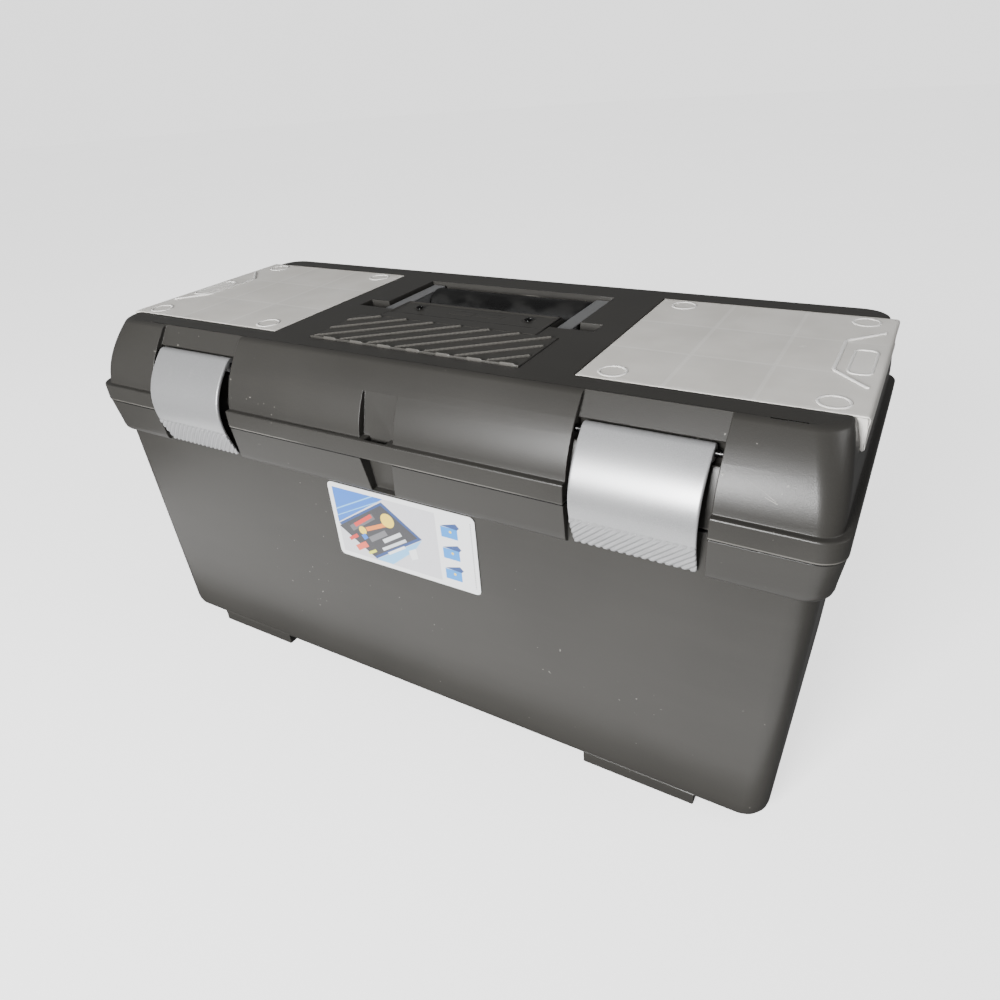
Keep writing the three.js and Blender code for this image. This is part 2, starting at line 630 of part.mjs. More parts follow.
function plateScrew(side) {
  const x = side * PANEL.screwX;
  const y = SCREW_Y;
  const seat = LID_TOP - PLATE.recess + FIT - 0.1 + PLATE.sheet + 0.3;
  const head = barZ(SCREW.head, x, y, [seat, seat + SCREW.headHeight]);
  const shank = barZ(SCREW.shank, x, y, [LID_TOP - SCREW.length, seat + 0.5], 12);
  return join(head, shank);
}

// ---- Carry handle ---------------------------------------------------------------------------
// Each arm is the outline of a small boss at the pin and the round end at the grip, with a straight top.
function handleArm(side) {
  const x = [side * ARM_IN, side * ARM_OUT];
  const boss = barX(HANDLE.boss, x, PIVOT.y, PIVOT.z, 20);
  const end = barX(HANDLE.grip, x, GRIP.y, GRIP.z, 28);
  const web = prismX(
    [
      [PIVOT.y, PIVOT.z - HANDLE.boss],
      [GRIP.y - 4, GRIP.z - HANDLE.grip + 0.6],
      [GRIP.y + HANDLE.grip, GRIP.z],
      [GRIP.y + HANDLE.grip, ARM_TOP],
      [PIVOT.y, ARM_TOP],
    ],
    x,
  );
  const eye = barX(HANDLE_PIN.radius + FIT, [-BIG, BIG], PIVOT.y, PIVOT.z);
  return cut(join(boss, end, web), eye);
}

function handleFrame() {
  const core = barX(HANDLE.core, [-ARM_IN - 1, ARM_IN + 1], GRIP.y, GRIP.z, 16);
  return join(...bothSides(handleArm), core);
}

function handleGrip() {
  const half = ARM_IN - FIT;
  const sleeve = barX(HANDLE.grip, [-half, half], GRIP.y, GRIP.z, 28);
  return cut(sleeve, barX(HANDLE.core + FIT, [-BIG, BIG], GRIP.y, GRIP.z, 16));
}

function handlePin(side) {
  return barX(HANDLE_PIN.radius, [side * (ARM_IN + 0.5), side * PIN_END], PIVOT.y, PIVOT.z);
}

// ---- Organisers -----------------------------------------------------------------------------
const COVER_BOTTOM = LID_TOP - ORG_COVER.thick;
const ORG_BOX_TOP = COVER_BOTTOM - FIT;
const BEAD = { x: ORG.near + ORG_COVER.bead, z: LID_TOP - ORG_COVER.bead };

function organiserBox(side) {
  const near = ORG.near + ORG_COVER.boxGap;
  const far = POCKET_END - FIT;
  const y = [ORG_FRONT + FIT, ORG_BACK - FIT];
  const z = [POCKET_FLOOR + FIT, ORG_BOX_TOP];
  const cellX = (far - near - ORG.wall) / ORG.cells;
  const cellY = (y[1] - y[0] - ORG.wall) / ORG.cells;
  const cells = [];
  for (let i = 0; i < ORG.cells; i++) {
    for (let j = 0; j < ORG.cells; j++) {
      const x0 = near + ORG.wall + i * cellX;
      const y0 = y[0] + ORG.wall + j * cellY;
      const x = [side * x0, side * (x0 + cellX - ORG.wall)];
      cells.push(box(x, [y0, y0 + cellY - ORG.wall], [z[0] + ORG.wall, z[1] + 1]));
    }
  }
  const rim = box([side * (far - 1), side * (ORG_END - ORG_COVER.thick - FIT)], y, [z[1] - ORG.wall, z[1]]);
  const cradle = (share) => {
    const middle = y[0] + share * (y[1] - y[0]);
    const cradleZ = [z[1] - 4, BEAD.z - ORG_COVER.bead - FIT];
    return box([side * (ORG.near + 0.2), side * (near + 1)], [middle - 6, middle + 6], cradleZ);
  };
  return join(cut(box([side * near, side * far], y, z), ...cells), rim, cradle(0.2), cradle(0.8));
}

// The cover: a flat sheet with a hinge bead along its inner edge and a flap down over the box's end.
function organiserCover(side) {
  const y = [ORG_FRONT, ORG_BACK];
  const sheet = box([side * BEAD.x, side * ORG_END], y, [COVER_BOTTOM, LID_TOP]);
  const flapX = [side * (ORG_END - ORG_COVER.thick), side * ORG_END];
  const flap = box(flapX, y, [LID_TOP - ORG_COVER.flap, LID_TOP]);
  const bead = barY(ORG_COVER.bead, side * BEAD.x, y, BEAD.z);
  return join(sheet, flap, bead);
}

// ---- Tray -----------------------------------------------------------------------------------
const TRAY_FLANGE_Z = LEDGE_Z + 0.3;
const TRAY_FLOOR = LEDGE_Z - TRAY.depth;
const BASKET = { halfX: HALF_X - BODY.insetX - WALL - 5, halfY: HALF_Y - BODY.insetY - WALL - 4 };

function trayBasket() {
  const rounded = (z, less) => ({
    z,
    halfX: BASKET.halfX - less,
    front: -BASKET.halfY + less,
    back: BASKET.halfY - less,
    radius: 12,
  });
  return loft([
    rounded(TRAY_FLOOR, TRAY.taper + 3),
    rounded(TRAY_FLOOR + 3, TRAY.taper),
    rounded(TRAY_FLANGE_Z + TRAY.flange, 0),
  ]);
}

// The flange overlaps the body's ledge and is notched where the ledge is interrupted.
function trayFlange() {
  const halfX = HALF_X - BODY.insetX - WALL + TRAY.reachX;
  const halfY = HALF_Y - BODY.insetY - WALL + TRAY.reachY;
  const ring = (z) => ({ z, halfX, front: -halfY, back: halfY, radius: 14 });
  const z = [TRAY_FLANGE_Z - 5, TRAY_FLANGE_Z + 10];
  const latchNotch = RECESS_HALF + PIN_HOLD + PAD + 1;
  return cut(
    loft([ring(TRAY_FLANGE_Z), ring(TRAY_FLANGE_Z + TRAY.flange)]),
    ...bothSides((s) => box(latchSpan(s, latchNotch), [-BIG, RECESS_BACK_Y + WALL + PASSING], z)),
    ...bothSides((s) => box(hingeWidth(s, HINGE_PAD_SIDE + 2), [HINGE_PAD_Y - PASSING - 1, BIG], z)),
    box(stationWidth(PAD + 2), [-BIG, STATION_Y + WALL + PASSING], z),
  );
}

// One row of bins. shares are the places of its dividers, from 0 at the left end to 1 at the right.
function trayBins(shares, y) {
  const floor = TRAY_FLOOR + TRAY.wall;
  const half = BASKET.halfX - TRAY.taper - TRAY.wall;
  const length = 2 * half + TRAY.wall;
  return shares.slice(1).map((share, i) => {
    const left = -half + shares[i] * length;
    const right = -half + share * length - TRAY.wall;
    return box([left, right], y, [floor, LEDGE_Z + BIG / 4]);
  });
}

// The spine between the two rows of bins rises to a bar with a hand slot under it.
function trayHandle() {
  const top = TRAY_FLANGE_Z + TRAY_HANDLE.rise;
  const { half, bar, barDepth, slotHalf, slotHeight } = TRAY_HANDLE;
  const wall = box([-half, half], [-TRAY.spine / 2, TRAY.spine / 2], [TRAY_FLOOR + 1, top]);
  const grip = box([-half, half], [-bar / 2, bar / 2], [top - barDepth, top]);
  const slot = box([-slotHalf, slotHalf], [-BIG, BIG], [top - barDepth - slotHeight, top - barDepth]);
  return cut(join(wall, grip), slot);
}

function tray() {
  const front = -BASKET.halfY + TRAY.taper + TRAY.wall;
  const spine = TRAY.spine / 2;
  const bins = [
    ...trayBins(TRAY_SHARES.front, [front, -spine]),
    ...trayBins(TRAY_SHARES.back, [spine, -front]),
  ];
  const slotTop = TRAY_FLANGE_Z + TRAY_HANDLE.rise - TRAY_HANDLE.barDepth;
  const handSlot = box(
    [-TRAY_HANDLE.slotHalf, TRAY_HANDLE.slotHalf],
    [-spine - 1, spine + 1],
    [slotTop - TRAY_HANDLE.slotHeight, slotTop],
  );
  return join(cut(join(trayBasket(), trayFlange()), ...bins, handSlot), trayHandle());
}

// ---- Label ----------------------------------------------------------------------------------
// A thin card with round corners, leaning with the drafted front wall.
function frontLabel() {
  const { left, right, top, height, thick, corner, gap } = LABEL;
  const shape = new THREE.Shape();
  shape.absarc(right - corner, -corner, corner, 0, Math.PI / 2);
  shape.absarc(left + corner, -corner, corner, Math.PI / 2, Math.PI);
  shape.absarc(left + corner, -height + corner, corner, Math.PI, 1.5 * Math.PI);
  shape.absarc(right - corner, -height + corner, corner, 1.5 * Math.PI, 2 * Math.PI);
  const card = new THREE.ExtrudeGeometry(shape, { depth: thick, bevelEnabled: false, curveSegments: 3 });
  const lean = Math.PI / 2 + Math.atan(WALL_FRONT_SLOPE);
  return solid(card.rotateX(lean).translate(0, WALL_TOP_Y - gap, RIM_Z - top));
}

// ---- Assembly -------------------------------------------------------------------------------
place("body_shell", bodyShell(), GRAPHITE);
place("lid_shell", lidShell(), GRAPHITE);
place("tray", tray(), TRAY_GREY);
place("grip_plate", gripPlate(), PLATE_GREY);
place("handle_frame", handleFrame(), ARM_GREY);
place("handle_grip", handleGrip(), GRIP_BLACK);
place("front_label", frontLabel(), PAPER);
for (const [side, name] of SIDES) {
  place("hinge_pin_" + name, barX(HINGE.pin, hingeWidth(side, 0), HINGE_Y, RIM_Z), STEEL);
  place("latch_" + name, latch(side), SILVER);
  place("latch_pin_" + name, latchPin(side), STEEL);
  place("handle_pin_" + name, handlePin(side), ARM_GREY);
  place("plate_screw_" + name, plateScrew(side), STEEL);
  place("organiser_box_" + name, organiserBox(side), NATURAL);
  place("organiser_cover_" + name, organiserCover(side), CLEAR);
}

export default toolbox;
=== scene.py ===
# %% [markdown]
# # A moulded toolbox with a lift-out tray
#
# The box has a deep body, a crowned lid with two clear-covered organisers, a folding carry handle
# and two silver latches. The engineering model gives every piece its place and size. This lesson
# gives each piece the surface and the finish that a moulder would.
#
# The first step loads that model. Everything afterwards stands in the same frame: X runs along the
# box, the front faces -Y, Z is up, and the feet stand on zero.

# %% Load the engineering model
import math

import bmesh
import bpy
import numpy as np
from mathutils import Matrix, Vector


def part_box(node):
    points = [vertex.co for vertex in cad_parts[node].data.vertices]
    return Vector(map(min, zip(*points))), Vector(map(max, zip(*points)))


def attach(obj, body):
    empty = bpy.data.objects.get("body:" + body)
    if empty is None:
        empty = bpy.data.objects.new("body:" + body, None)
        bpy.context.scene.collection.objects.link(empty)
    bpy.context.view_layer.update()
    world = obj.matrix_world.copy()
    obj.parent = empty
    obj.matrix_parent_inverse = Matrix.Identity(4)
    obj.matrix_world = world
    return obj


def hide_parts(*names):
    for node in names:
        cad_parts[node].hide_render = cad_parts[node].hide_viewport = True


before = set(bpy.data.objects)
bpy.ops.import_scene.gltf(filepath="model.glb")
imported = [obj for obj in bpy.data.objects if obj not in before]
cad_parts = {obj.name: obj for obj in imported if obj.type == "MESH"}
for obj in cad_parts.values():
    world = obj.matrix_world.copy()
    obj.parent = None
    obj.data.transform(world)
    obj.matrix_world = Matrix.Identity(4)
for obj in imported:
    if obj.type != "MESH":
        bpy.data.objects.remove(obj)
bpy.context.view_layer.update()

# %% [markdown]
# ## Working units
#
# Moulded parts are drawn in millimetres and Blender measures in metres. The shapes below are
# worked out in millimetres and scaled once, where a mesh is made. `edges` reads the box round a
# piece of the engineering model, so that a new piece starts from that piece's real place.

# %% Units and places
MM = 0.001
SIDES = {"left": -1, "right": 1}
EDGE_STEPS = 4  # divisions of a rounded edge
ARC_POINTS = 7  # points of a rounded corner


def edges(node):
    """The lowest and highest corner of a node in millimetres, as two arrays."""
    low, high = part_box(node)
    return np.array(low) / MM, np.array(high) / MM


for node in sorted(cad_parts):
    low, high = edges(node)
    print(f"{node:24s} {np.round(low, 1)} to {np.round(high, 1)}")

# %% [markdown]
# ## Camera
#
# A camera looks down its own -Z axis. Its turn can be given with three angles, but it is easier to
# check when the three axes are built from a direction: azimuth round the box, how far the camera
# looks down, and a small roll. The columns of the matrix are the camera's right, up and back.

# %% Camera
VIEW = {"azimuth": 31.43, "down": 31.06, "roll": -3.91}
CAMERA_PLACE = (0.3048, -0.4640, 0.4659)
FOCAL_SHARE = 0.72805  # focal length over sensor width


def camera_axes(azimuth, down, roll):
    """Right, up and back of a camera, as three columns.

    The line of sight is (-sin a cos d, cos a cos d, -sin d). Right is level, up is right crossed
    with the line of sight, and both turn about the line of sight by the roll.
    """
    a, d, r = (math.radians(v) for v in (azimuth, down, roll))
    sight = Vector((-math.sin(a) * math.cos(d), math.cos(a) * math.cos(d), -math.sin(d)))
    level = Vector((math.cos(a), math.sin(a), 0))
    upright = level.cross(sight)
    right = level * math.cos(r) + upright * math.sin(r)
    up = upright * math.cos(r) - level * math.sin(r)
    return right, up, -sight


lens = bpy.data.cameras.new("studio_camera")
lens.sensor_width = 36
lens.lens = FOCAL_SHARE * lens.sensor_width
lens.clip_start = 0.02
camera = bpy.data.objects.new("studio_camera", lens)
bpy.context.scene.collection.objects.link(camera)
right, up, back = camera_axes(**VIEW)
camera.matrix_world = Matrix.Translation(CAMERA_PLACE) @ Matrix((right, up, back)).transposed().to_4x4()
bpy.context.scene.camera = camera
print("camera", round(lens.lens, 2), "mm lens at", CAMERA_PLACE)

# %% [markdown]
# ## Shader sums as Python
#
# A material is a small sum over the surface: a mask times a tint plus some noise. Wiring that by
# hand hides the formula. `Wire` wraps one output socket and overloads the operators, so that
# `1 - mask` adds the right Math node by itself. `Recipe.node` makes every other kind of node.

# %% Wires and recipes
class Wire:
    """One output of a shader node. Arithmetic on it adds Math nodes to its recipe."""

    def __init__(self, recipe, socket):
        self.recipe = recipe
        self.socket = socket

    def maths(self, operation, *values):
        return self.recipe.node("ShaderNodeMath", {"operation": operation}, dict(enumerate(values)))

    def __add__(self, other):
        return self.maths("ADD", self, other)

    def __radd__(self, other):
        return self.maths("ADD", other, self)

    def __sub__(self, other):
        return self.maths("SUBTRACT", self, other)

    def __rsub__(self, other):
        return self.maths("SUBTRACT", other, self)

    def __mul__(self, other):
        return self.maths("MULTIPLY", self, other)

    def __rmul__(self, other):
        return self.maths("MULTIPLY", other, self)

    def __truediv__(self, other):
        return self.maths("DIVIDE", self, other)

    def __pow__(self, other):
        return self.maths("POWER", self, other)

    def __lt__(self, other):
        return self.maths("LESS_THAN", self, other)

    def __gt__(self, other):
        return self.maths("GREATER_THAN", self, other)

    def __abs__(self):
        return self.maths("ABSOLUTE", self)

    def least(self, other):
        return self.maths("MINIMUM", self, other)

    def most(self, other):
        return self.maths("MAXIMUM", self, other)

    def wrapped(self, length):
        """What is left after whole lengths are taken away, always from 0 to length."""
        return self.maths("FLOORED_MODULO", self, length)

    def ramp(self, low, high):
        """0 below low, 1 above high, and a smooth rise between; it falls where low is the larger."""
        settings = {"interpolation_type": "SMOOTHSTEP"}
        if low < high:
            return self.recipe.node("ShaderNodeMapRange", settings, {0: self, 1: low, 2: high})
        return 1 - self.ramp(high, low)


class Recipe:
    """A material in the making: one Principled shader, and the nodes that feed it."""

    def __init__(self, name, **constants):
        self.material = bpy.data.materials.new(name)
        self.material.use_nodes = True
        self.tree = self.material.node_tree
        self.tree.nodes.clear()
        self.shader = self.tree.nodes.new("ShaderNodeBsdfPrincipled")
        output = self.tree.nodes.new("ShaderNodeOutputMaterial")
        self.tree.links.new(self.shader.outputs[0], output.inputs["Surface"])
        for socket, value in constants.items():
            self.feed(socket.replace("_", " "), value)
        self.place = self.node("ShaderNodeTexCoord", output="Object")
        split = self.node("ShaderNodeSeparateXYZ", inputs={0: self.place})
        self.x, self.y, self.z = (Wire(self, axis) for axis in split.socket.node.outputs)

    def plug(self, socket, value):
        if isinstance(value, Wire):
            self.tree.links.new(value.socket, socket)
        else:
            socket.default_value = value

    def node(self, kind, settings=None, inputs=None, output=0):
        """Adds a node, sets its settings, then plugs in its inputs."""
        made = self.tree.nodes.new(kind)
        for name, value in (settings or {}).items():
            setattr(made, name, value)
        for name, value in (inputs or {}).items():
            self.plug(made.inputs[name], value)
        return Wire(self, made.outputs[output])

    def feed(self, socket, value):
        """Sets a socket of the shader, or plugs a wire into it."""
        self.plug(self.shader.inputs[socket], value)

    def noise(self, scale, detail, stretch=(1, 1, 1)):
        """Noise from 0 to 1 over the piece; scale is waves per metre, stretch squeezes each axis."""
        where = self.place
        if tuple(stretch) != (1, 1, 1):
            where = self.node("ShaderNodeMapping", {}, {"Vector": where, "Scale": stretch})
        return self.node("ShaderNodeTexNoise", {}, {"Vector": where, "Scale": scale, "Detail": detail})

    def mix(self, share, first, second):
        """A colour between first and second."""
        inputs = {0: share, 6: first, 7: second}
        return self.node("ShaderNodeMix", {"data_type": "RGBA"}, inputs, output=2)

    def raised(self):
        """The mesh's own "raised" attribute: 1 on moulded ribs and lines, 0 between them."""
        return self.node("ShaderNodeAttribute", {"attribute_name": "raised"}, output=2)

    def emboss(self, height, depth):
        """Feeds Normal with a bump: height from 0 to 1 stands for a relief of depth millimetres."""
        inputs = {"Height": height, "Distance": depth * MM, "Strength": 1.0}
        self.feed("Normal", self.node("ShaderNodeBump", {}, inputs))


def grey(value, warm=0.0):
    """A neutral colour; warm tips it towards yellow, or towards blue when it is negative."""
    return (value * (1 + warm), value, value * (1 - 2 * warm), 1.0)


print("shader helpers ready")

# %% [markdown]
# ## Finish: graphite polypropylene
#
# The shells are moulded from a dark grey polypropylene in a mould with a fine spark-eroded grain.
# It could be one flat grey, but then the big walls look like paint. The real thing shows three
# scales: a grain of about half a millimetre, slow clouding where the melt flowed, and a few specks
# of dust and hair scratches from handling. Each is one noise, and the grain also feeds the bump.
# The seam between lid and body is painted darker as shade, with a painted highlight just above it; the grip
# plate's raised ribs carry a painted highlight.

# %% Graphite polypropylene
def band(u, v, start, end, width, soft=0.25):
    """A bar from start to end: inside half the length along it and half the width across it."""
    (u0, v0), (u1, v1) = start, end
    length = math.hypot(u1 - u0, v1 - v0)
    cos, sin = (u1 - u0) / length, (v1 - v0) / length
    along = abs((u - (u0 + u1) / 2) * cos + (v - (v0 + v1) / 2) * sin)
    across = abs((v - (v0 + v1) / 2) * cos - (u - (u0 + u1) / 2) * sin)
    inside = along.ramp(length / 2 + soft, length / 2 - soft)
    return inside * across.ramp(width / 2 + soft, width / 2 - soft)


# Where the seam's painted shade and the painted highlight above it lie, in millimetres.
SEAM = {"z": 234.4, "half": 0.75, "edge": 0.9}
SCRATCHES = [((244, 270.5), (252, 266.7)), ((250, 268.1), (261, 262.1)), ((255, 263.5), (262, 261.1))]
GRAPHITE_WARMTH = 0.045


def seam_shade_highlight_and_scratches(r, base, marks_and_highlight, flow):
    """Painted shade in the seam between lid and body, a painted highlight just above it, and three scratches.
    """
    x, z = r.x / MM, r.z / MM
    half, edge = SEAM["half"], SEAM["edge"]
    over = z - SEAM["z"]
    # Painted shade: darker close to the seam, where the gap is in shade.
    base = r.mix(abs(over).ramp(half, half * 0.6) * 0.85, base, grey(0.003))
    # Painted highlight: a lighter line just above the seam, on the lid's lower edge.
    rubbed = over.ramp(half, edge) * over.ramp(edge * 2, edge * 1.5)
    marks_and_highlight = marks_and_highlight.most(rubbed * flow.ramp(0.4, 0.6) * 0.3)
    for start, end in SCRATCHES:
        marks_and_highlight = marks_and_highlight.most(band(x, z, start, end, 0.3, soft=0.2) * flow.ramp(0.3, 0.6))
    return base, marks_and_highlight


def moulded_plastic(name, tone, rough, grain, joined=False, ribbed=False):
    """Grained plastic: tone times clouding, plus sparse specks and scratches that are lighter.

    A joined one also has painted shade in the seam and a painted highlight above it. A ribbed one has a
    painted highlight where it is raised.
    """
    warm = GRAPHITE_WARMTH
    r = Recipe(name, Specular_IOR_Level=0.34)
    cloud = r.noise(9, 3)
    flow = r.noise(26, 4, stretch=(0.35, 1, 1.6))
    pores = r.noise(1500, 2)
    base = r.mix(cloud.ramp(0.3, 0.7), grey(tone * 0.93, warm), grey(tone * 1.05, warm))
    base = r.mix(flow.ramp(0.42, 0.75) * 0.25, base, grey(tone * 1.25, warm))
    base = r.mix(pores.ramp(0.5, 0.8) * 0.35, base, grey(tone * 1.3, warm))
    specks = r.noise(420, 0).ramp(0.84, 0.87) * r.noise(14, 1).ramp(0.52, 0.64)
    hairs = r.noise(210, 2, stretch=(0.05, 1, 1.3)).ramp(0.79, 0.84) * r.noise(17, 1).ramp(0.56, 0.66)
    marks_and_highlight = specks.most(hairs) * 0.5
    if joined:
        base, marks_and_highlight = seam_shade_highlight_and_scratches(r, base, marks_and_highlight, flow)
    if ribbed:
        # Painted highlight: the raised ribs, nose and rim are lighter, as where light catches them.
        base = r.mix(r.raised() * (0.5 + flow * 0.4), base, grey(tone * 2.8, warm))
    r.feed("Base Color", r.mix(marks_and_highlight, base, grey(0.33, warm)))
    r.feed("Roughness", rough + (cloud - 0.5) * 0.12 + pores * 0.05 + marks_and_highlight * 0.1)
    r.emboss(pores, grain)
    return r.material


graphite = moulded_plastic("graphite_plastic", tone=0.034, rough=0.34, grain=0.05, joined=True)
plate_plastic = moulded_plastic("plate_plastic", tone=0.04, rough=0.32, grain=0.03, ribbed=True)
tray_plastic = moulded_plastic("tray_plastic", tone=0.03, rough=0.45, grain=0.03)
print("graphite, plate and tray plastics made")

# %% [markdown]
# ## Finish: silver latches, grey arms and steel pins
#
# The latches are plastic with aluminium flakes in it, not plated metal. So the finish is half
# metallic, quite rough, and twinkles: flakes are a fine noise that shifts both tint and gloss.
# The arms are the same plastic in a darker tint. The hinge pins are drawn steel with lengthwise
# marks, and the screws and latch pins are steel with a black oxide skin.

# %% Silver and steel
SILVER_WARMTH = -0.008  # a trace of blue


def flake_plastic(name, tone, rough, metal):
    """Flake-filled plastic: tone plus a fine twinkle, and a slow clouding of the gloss."""
    cool = SILVER_WARMTH
    r = Recipe(name, Metallic=metal)
    flakes = r.noise(2600, 1)
    cloud = r.noise(22, 3)
    base = r.mix(flakes.ramp(0.35, 0.7), grey(tone * 0.86, cool), grey(tone * 1.08, cool))
    base = r.mix(cloud.ramp(0.35, 0.75) * 0.4, base, grey(tone * 0.93, cool))
    rubbed = r.noise(95, 4, stretch=(1, 1, 0.25)).ramp(0.66, 0.8) * 0.35
    r.feed("Base Color", r.mix(rubbed, base, grey(tone * 1.2)))
    r.feed("Roughness", rough + flakes * 0.1 + (cloud - 0.5) * 0.1)
    r.emboss(flakes, 0.012)
    return r.material


def drawn_steel(name):
    """Steel with fine lines along X and a few darker oil stains."""
    r = Recipe(name, Metallic=1.0)
    lines = r.noise(900, 2, stretch=(0.03, 1, 1))
    stain = r.noise(60, 3).ramp(0.5, 0.8)
    r.feed("Base Color", r.mix(stain * 0.5, grey(0.62, 0.01), grey(0.36, 0.02)))
    r.feed("Roughness", 0.22 + lines * 0.2 + stain * 0.15)
    r.emboss(lines, 0.01)
    return r.material


def blackened_steel(name):
    """Screws and latch pins: steel with a dark oxide skin that has rubbed bright in places."""
    r = Recipe(name, Metallic=1.0)
    rubbed = r.noise(700, 3).ramp(0.6, 0.75)
    r.feed("Base Color", r.mix(rubbed, grey(0.035), grey(0.4, 0.01)))
    r.feed("Roughness", 0.26 + rubbed * 0.15)
    r.emboss(rubbed, 0.02)
    return r.material


silver = flake_plastic("silver_latch_plastic", tone=0.42, rough=0.31, metal=0.5)
arm_plastic = flake_plastic("arm_plastic", tone=0.19, rough=0.36, metal=0.15)
steel = drawn_steel("drawn_steel")
dark_steel = blackened_steel("blackened_steel")
print("silver, arm plastic and steel made")

# %% [markdown]
# ## Finish: the grip
#
# The handle's sleeve is a nearly black soft plastic with a gloss that has worn unevenly, so its
# highlight breaks up into patches. The patches are a noise of about a centimetre that drives the
# roughness, and a shallow bump of the same noise bends the reflections.

# %% Worn black grip
def worn_grip(name):
    """Black, with patches from glossy to dull and small dents."""
    r = Recipe(name, Specular_IOR_Level=0.25)
    patches = r.noise(75, 4, stretch=(0.6, 1, 1))
    grain = r.noise(1300, 1)
    r.feed("Base Color", r.mix(patches.ramp(0.4, 0.7), grey(0.006), grey(0.013, 0.02)))
    r.feed("Roughness", 0.24 + patches.ramp(0.35, 0.65) * 0.32 + grain * 0.05)
    r.emboss(patches * 0.85 + grain * 0.15, 0.5)
    return r.material


grip_black = worn_grip("worn_black_grip")
print("grip finish made")

# %% [markdown]
# ## Finish: natural and clear polypropylene
#
# The organisers' boxes are natural polypropylene, milky white. Their covers are the same plastic,
# thin enough for the cell walls to show through. Real light scatters inside such a sheet. That is
# slow to trace, so the cover uses Alpha: the milk is the part that isn't see-through, and it is
# thicker on the raised lines and where fingers have worn the sheet. The light that the cell walls
# scatter is painted as a lighter stripe over each wall, with painted shade beside it, and a painted
# sheen grows towards the cover's outer end.

# %% Milky plastics
ORGANISER = {"wall": 3, "flap_side": 7.5}
# The painted light stripe over each cell wall and the painted shade beside it, in millimetres: the stripe's
# core and edge, and how far the shade reaches.
WALL_STRIPE = {"core": 0.7, "edge": 1.9, "shade": 30}
STAR_SCUFF = {"x": 244, "y": 22, "arms": ((2.4, 0.6), (1.4, 2.2), (-0.8, 2.0)), "width": 0.2}
FINGER_PATCH = {"x": (274, 289), "y": (-17, 28), "soft": 2}
# Where the painted sheen grows, in millimetres from the middle: from its start to the outer end.
OUTER_END_SHEEN = (215, 300)


def between(value, low, high, soft):
    """1 between low and high, with a soft edge inside each."""
    return value.ramp(low, low + soft) * value.ramp(high, high - soft)


def wall_shadows(r, base, milk_and_painted_light, tone, walls):
    """A painted light stripe where each cell wall meets the sheet, and painted shade that fades away beside
    it.
    """
    places = {"x": abs(r.x) / MM, "y": r.y / MM}
    for axis, place in walls:
        off = places[axis] - place
        # Painted shade beside each wall, and a painted light stripe over it.
        shade = off.ramp(-WALL_STRIPE["shade"], 0) * off.ramp(0.5, 0)
        milk_and_painted_light = milk_and_painted_light.most(abs(off).ramp(WALL_STRIPE["edge"], WALL_STRIPE["core"]) * 0.22)
        base = r.mix(shade * 0.10, base, grey(tone * 0.7, 0.015))
    return base, milk_and_painted_light


def cover_wear_and_sheen(r, milk_and_painted_light):
    """A star-shaped scuff, the worn finger patch, and a painted sheen that grows towards the outer end."""
    x, y, outward_x = r.x / MM, r.y / MM, abs(r.x) / MM
    for dx, dy in STAR_SCUFF["arms"]:
        ends = [(STAR_SCUFF["x"] + k * dx, STAR_SCUFF["y"] + k * dy) for k in (-1, 1)]
        milk_and_painted_light = milk_and_painted_light.most(band(x, y, *ends, STAR_SCUFF["width"], soft=0.35))
    finger = between(outward_x, *FINGER_PATCH["x"], FINGER_PATCH["soft"])
    finger = finger * between(y, *FINGER_PATCH["y"], FINGER_PATCH["soft"])
    milk_and_painted_light = milk_and_painted_light.most(r.raised() * 0.75).most(finger * 0.35)
    # Painted sheen: the sheet turns whiter towards its outer end.
    return milk_and_painted_light.most(outward_x.ramp(*OUTER_END_SHEEN) * 0.16)


def milky_plastic(name, tone, cover, walls=()):
    """Milky plastic; cover is how much of what lies behind is hidden, from 0 to 1.

    walls are (axis, place) pairs in millimetres, where cell walls meet the sheet and a painted light
    stripe with painted shade beside it goes. Where the mesh is raised the plastic is thicker, so it is
    whiter.
    """
    r = Recipe(name, Specular_IOR_Level=0.5)
    cloud = r.noise(30, 4)
    haze = r.noise(8, 2)
    fine = r.noise(800, 2)
    scuffs = r.noise(160, 2, stretch=(1, 0.06, 1)).ramp(0.74, 0.8) * r.noise(12, 1).ramp(0.5, 0.65)
    base = r.mix(cloud.ramp(0.3, 0.7), grey(tone * 0.95, 0.035), grey(tone * 1.04, 0.03))
    milk_and_painted_light = scuffs * 0.4
    if cover < 1:
        base, milk_and_painted_light = wall_shadows(r, base, milk_and_painted_light, tone, walls)
        milk_and_painted_light = cover_wear_and_sheen(r, milk_and_painted_light)
        r.feed("Alpha", (cover + (cloud - 0.5) * 0.06 + milk_and_painted_light * 0.3).least(1))
    r.feed("Base Color", r.mix(milk_and_painted_light, base, grey(0.92, 0.008)))
    r.feed("Roughness", 0.33 + (haze - 0.5) * 0.2 + fine * 0.08)
    r.emboss(fine * 0.4 + haze * 0.6, 0.05)
    return r.material


def cell_walls():
    """Where the organiser's inner walls stand, as (axis, place) pairs: thirds of its box."""
    low, high = edges("organiser_box_right")
    start = low[0] + ORGANISER["wall"]
    end = edges("organiser_cover_right")[1][0] - ORGANISER["flap_side"]
    for share in (1 / 3, 2 / 3):
        yield "x", float(start + (end - start) * share)
        yield "y", float(low[1] + (high[1] - low[1]) * share)


natural = milky_plastic("natural_plastic", tone=0.72, cover=1)
clear = milky_plastic("clear_cover_plastic", tone=0.84, cover=0.86, walls=list(cell_walls()))
print("milky plastics made")

# %% [markdown]
# ## Finish: the printed card
#
# The card on the front is white, with a picture panel, three small pictures beside it and a row of
# perforations. An image could be wrapped on it, but a few masks are enough: each shape is a test
# on the distance along and across a line, in millimetres from the card's upper left corner. The
# picture is a plain open box with tools in its tray, and there is no lettering.

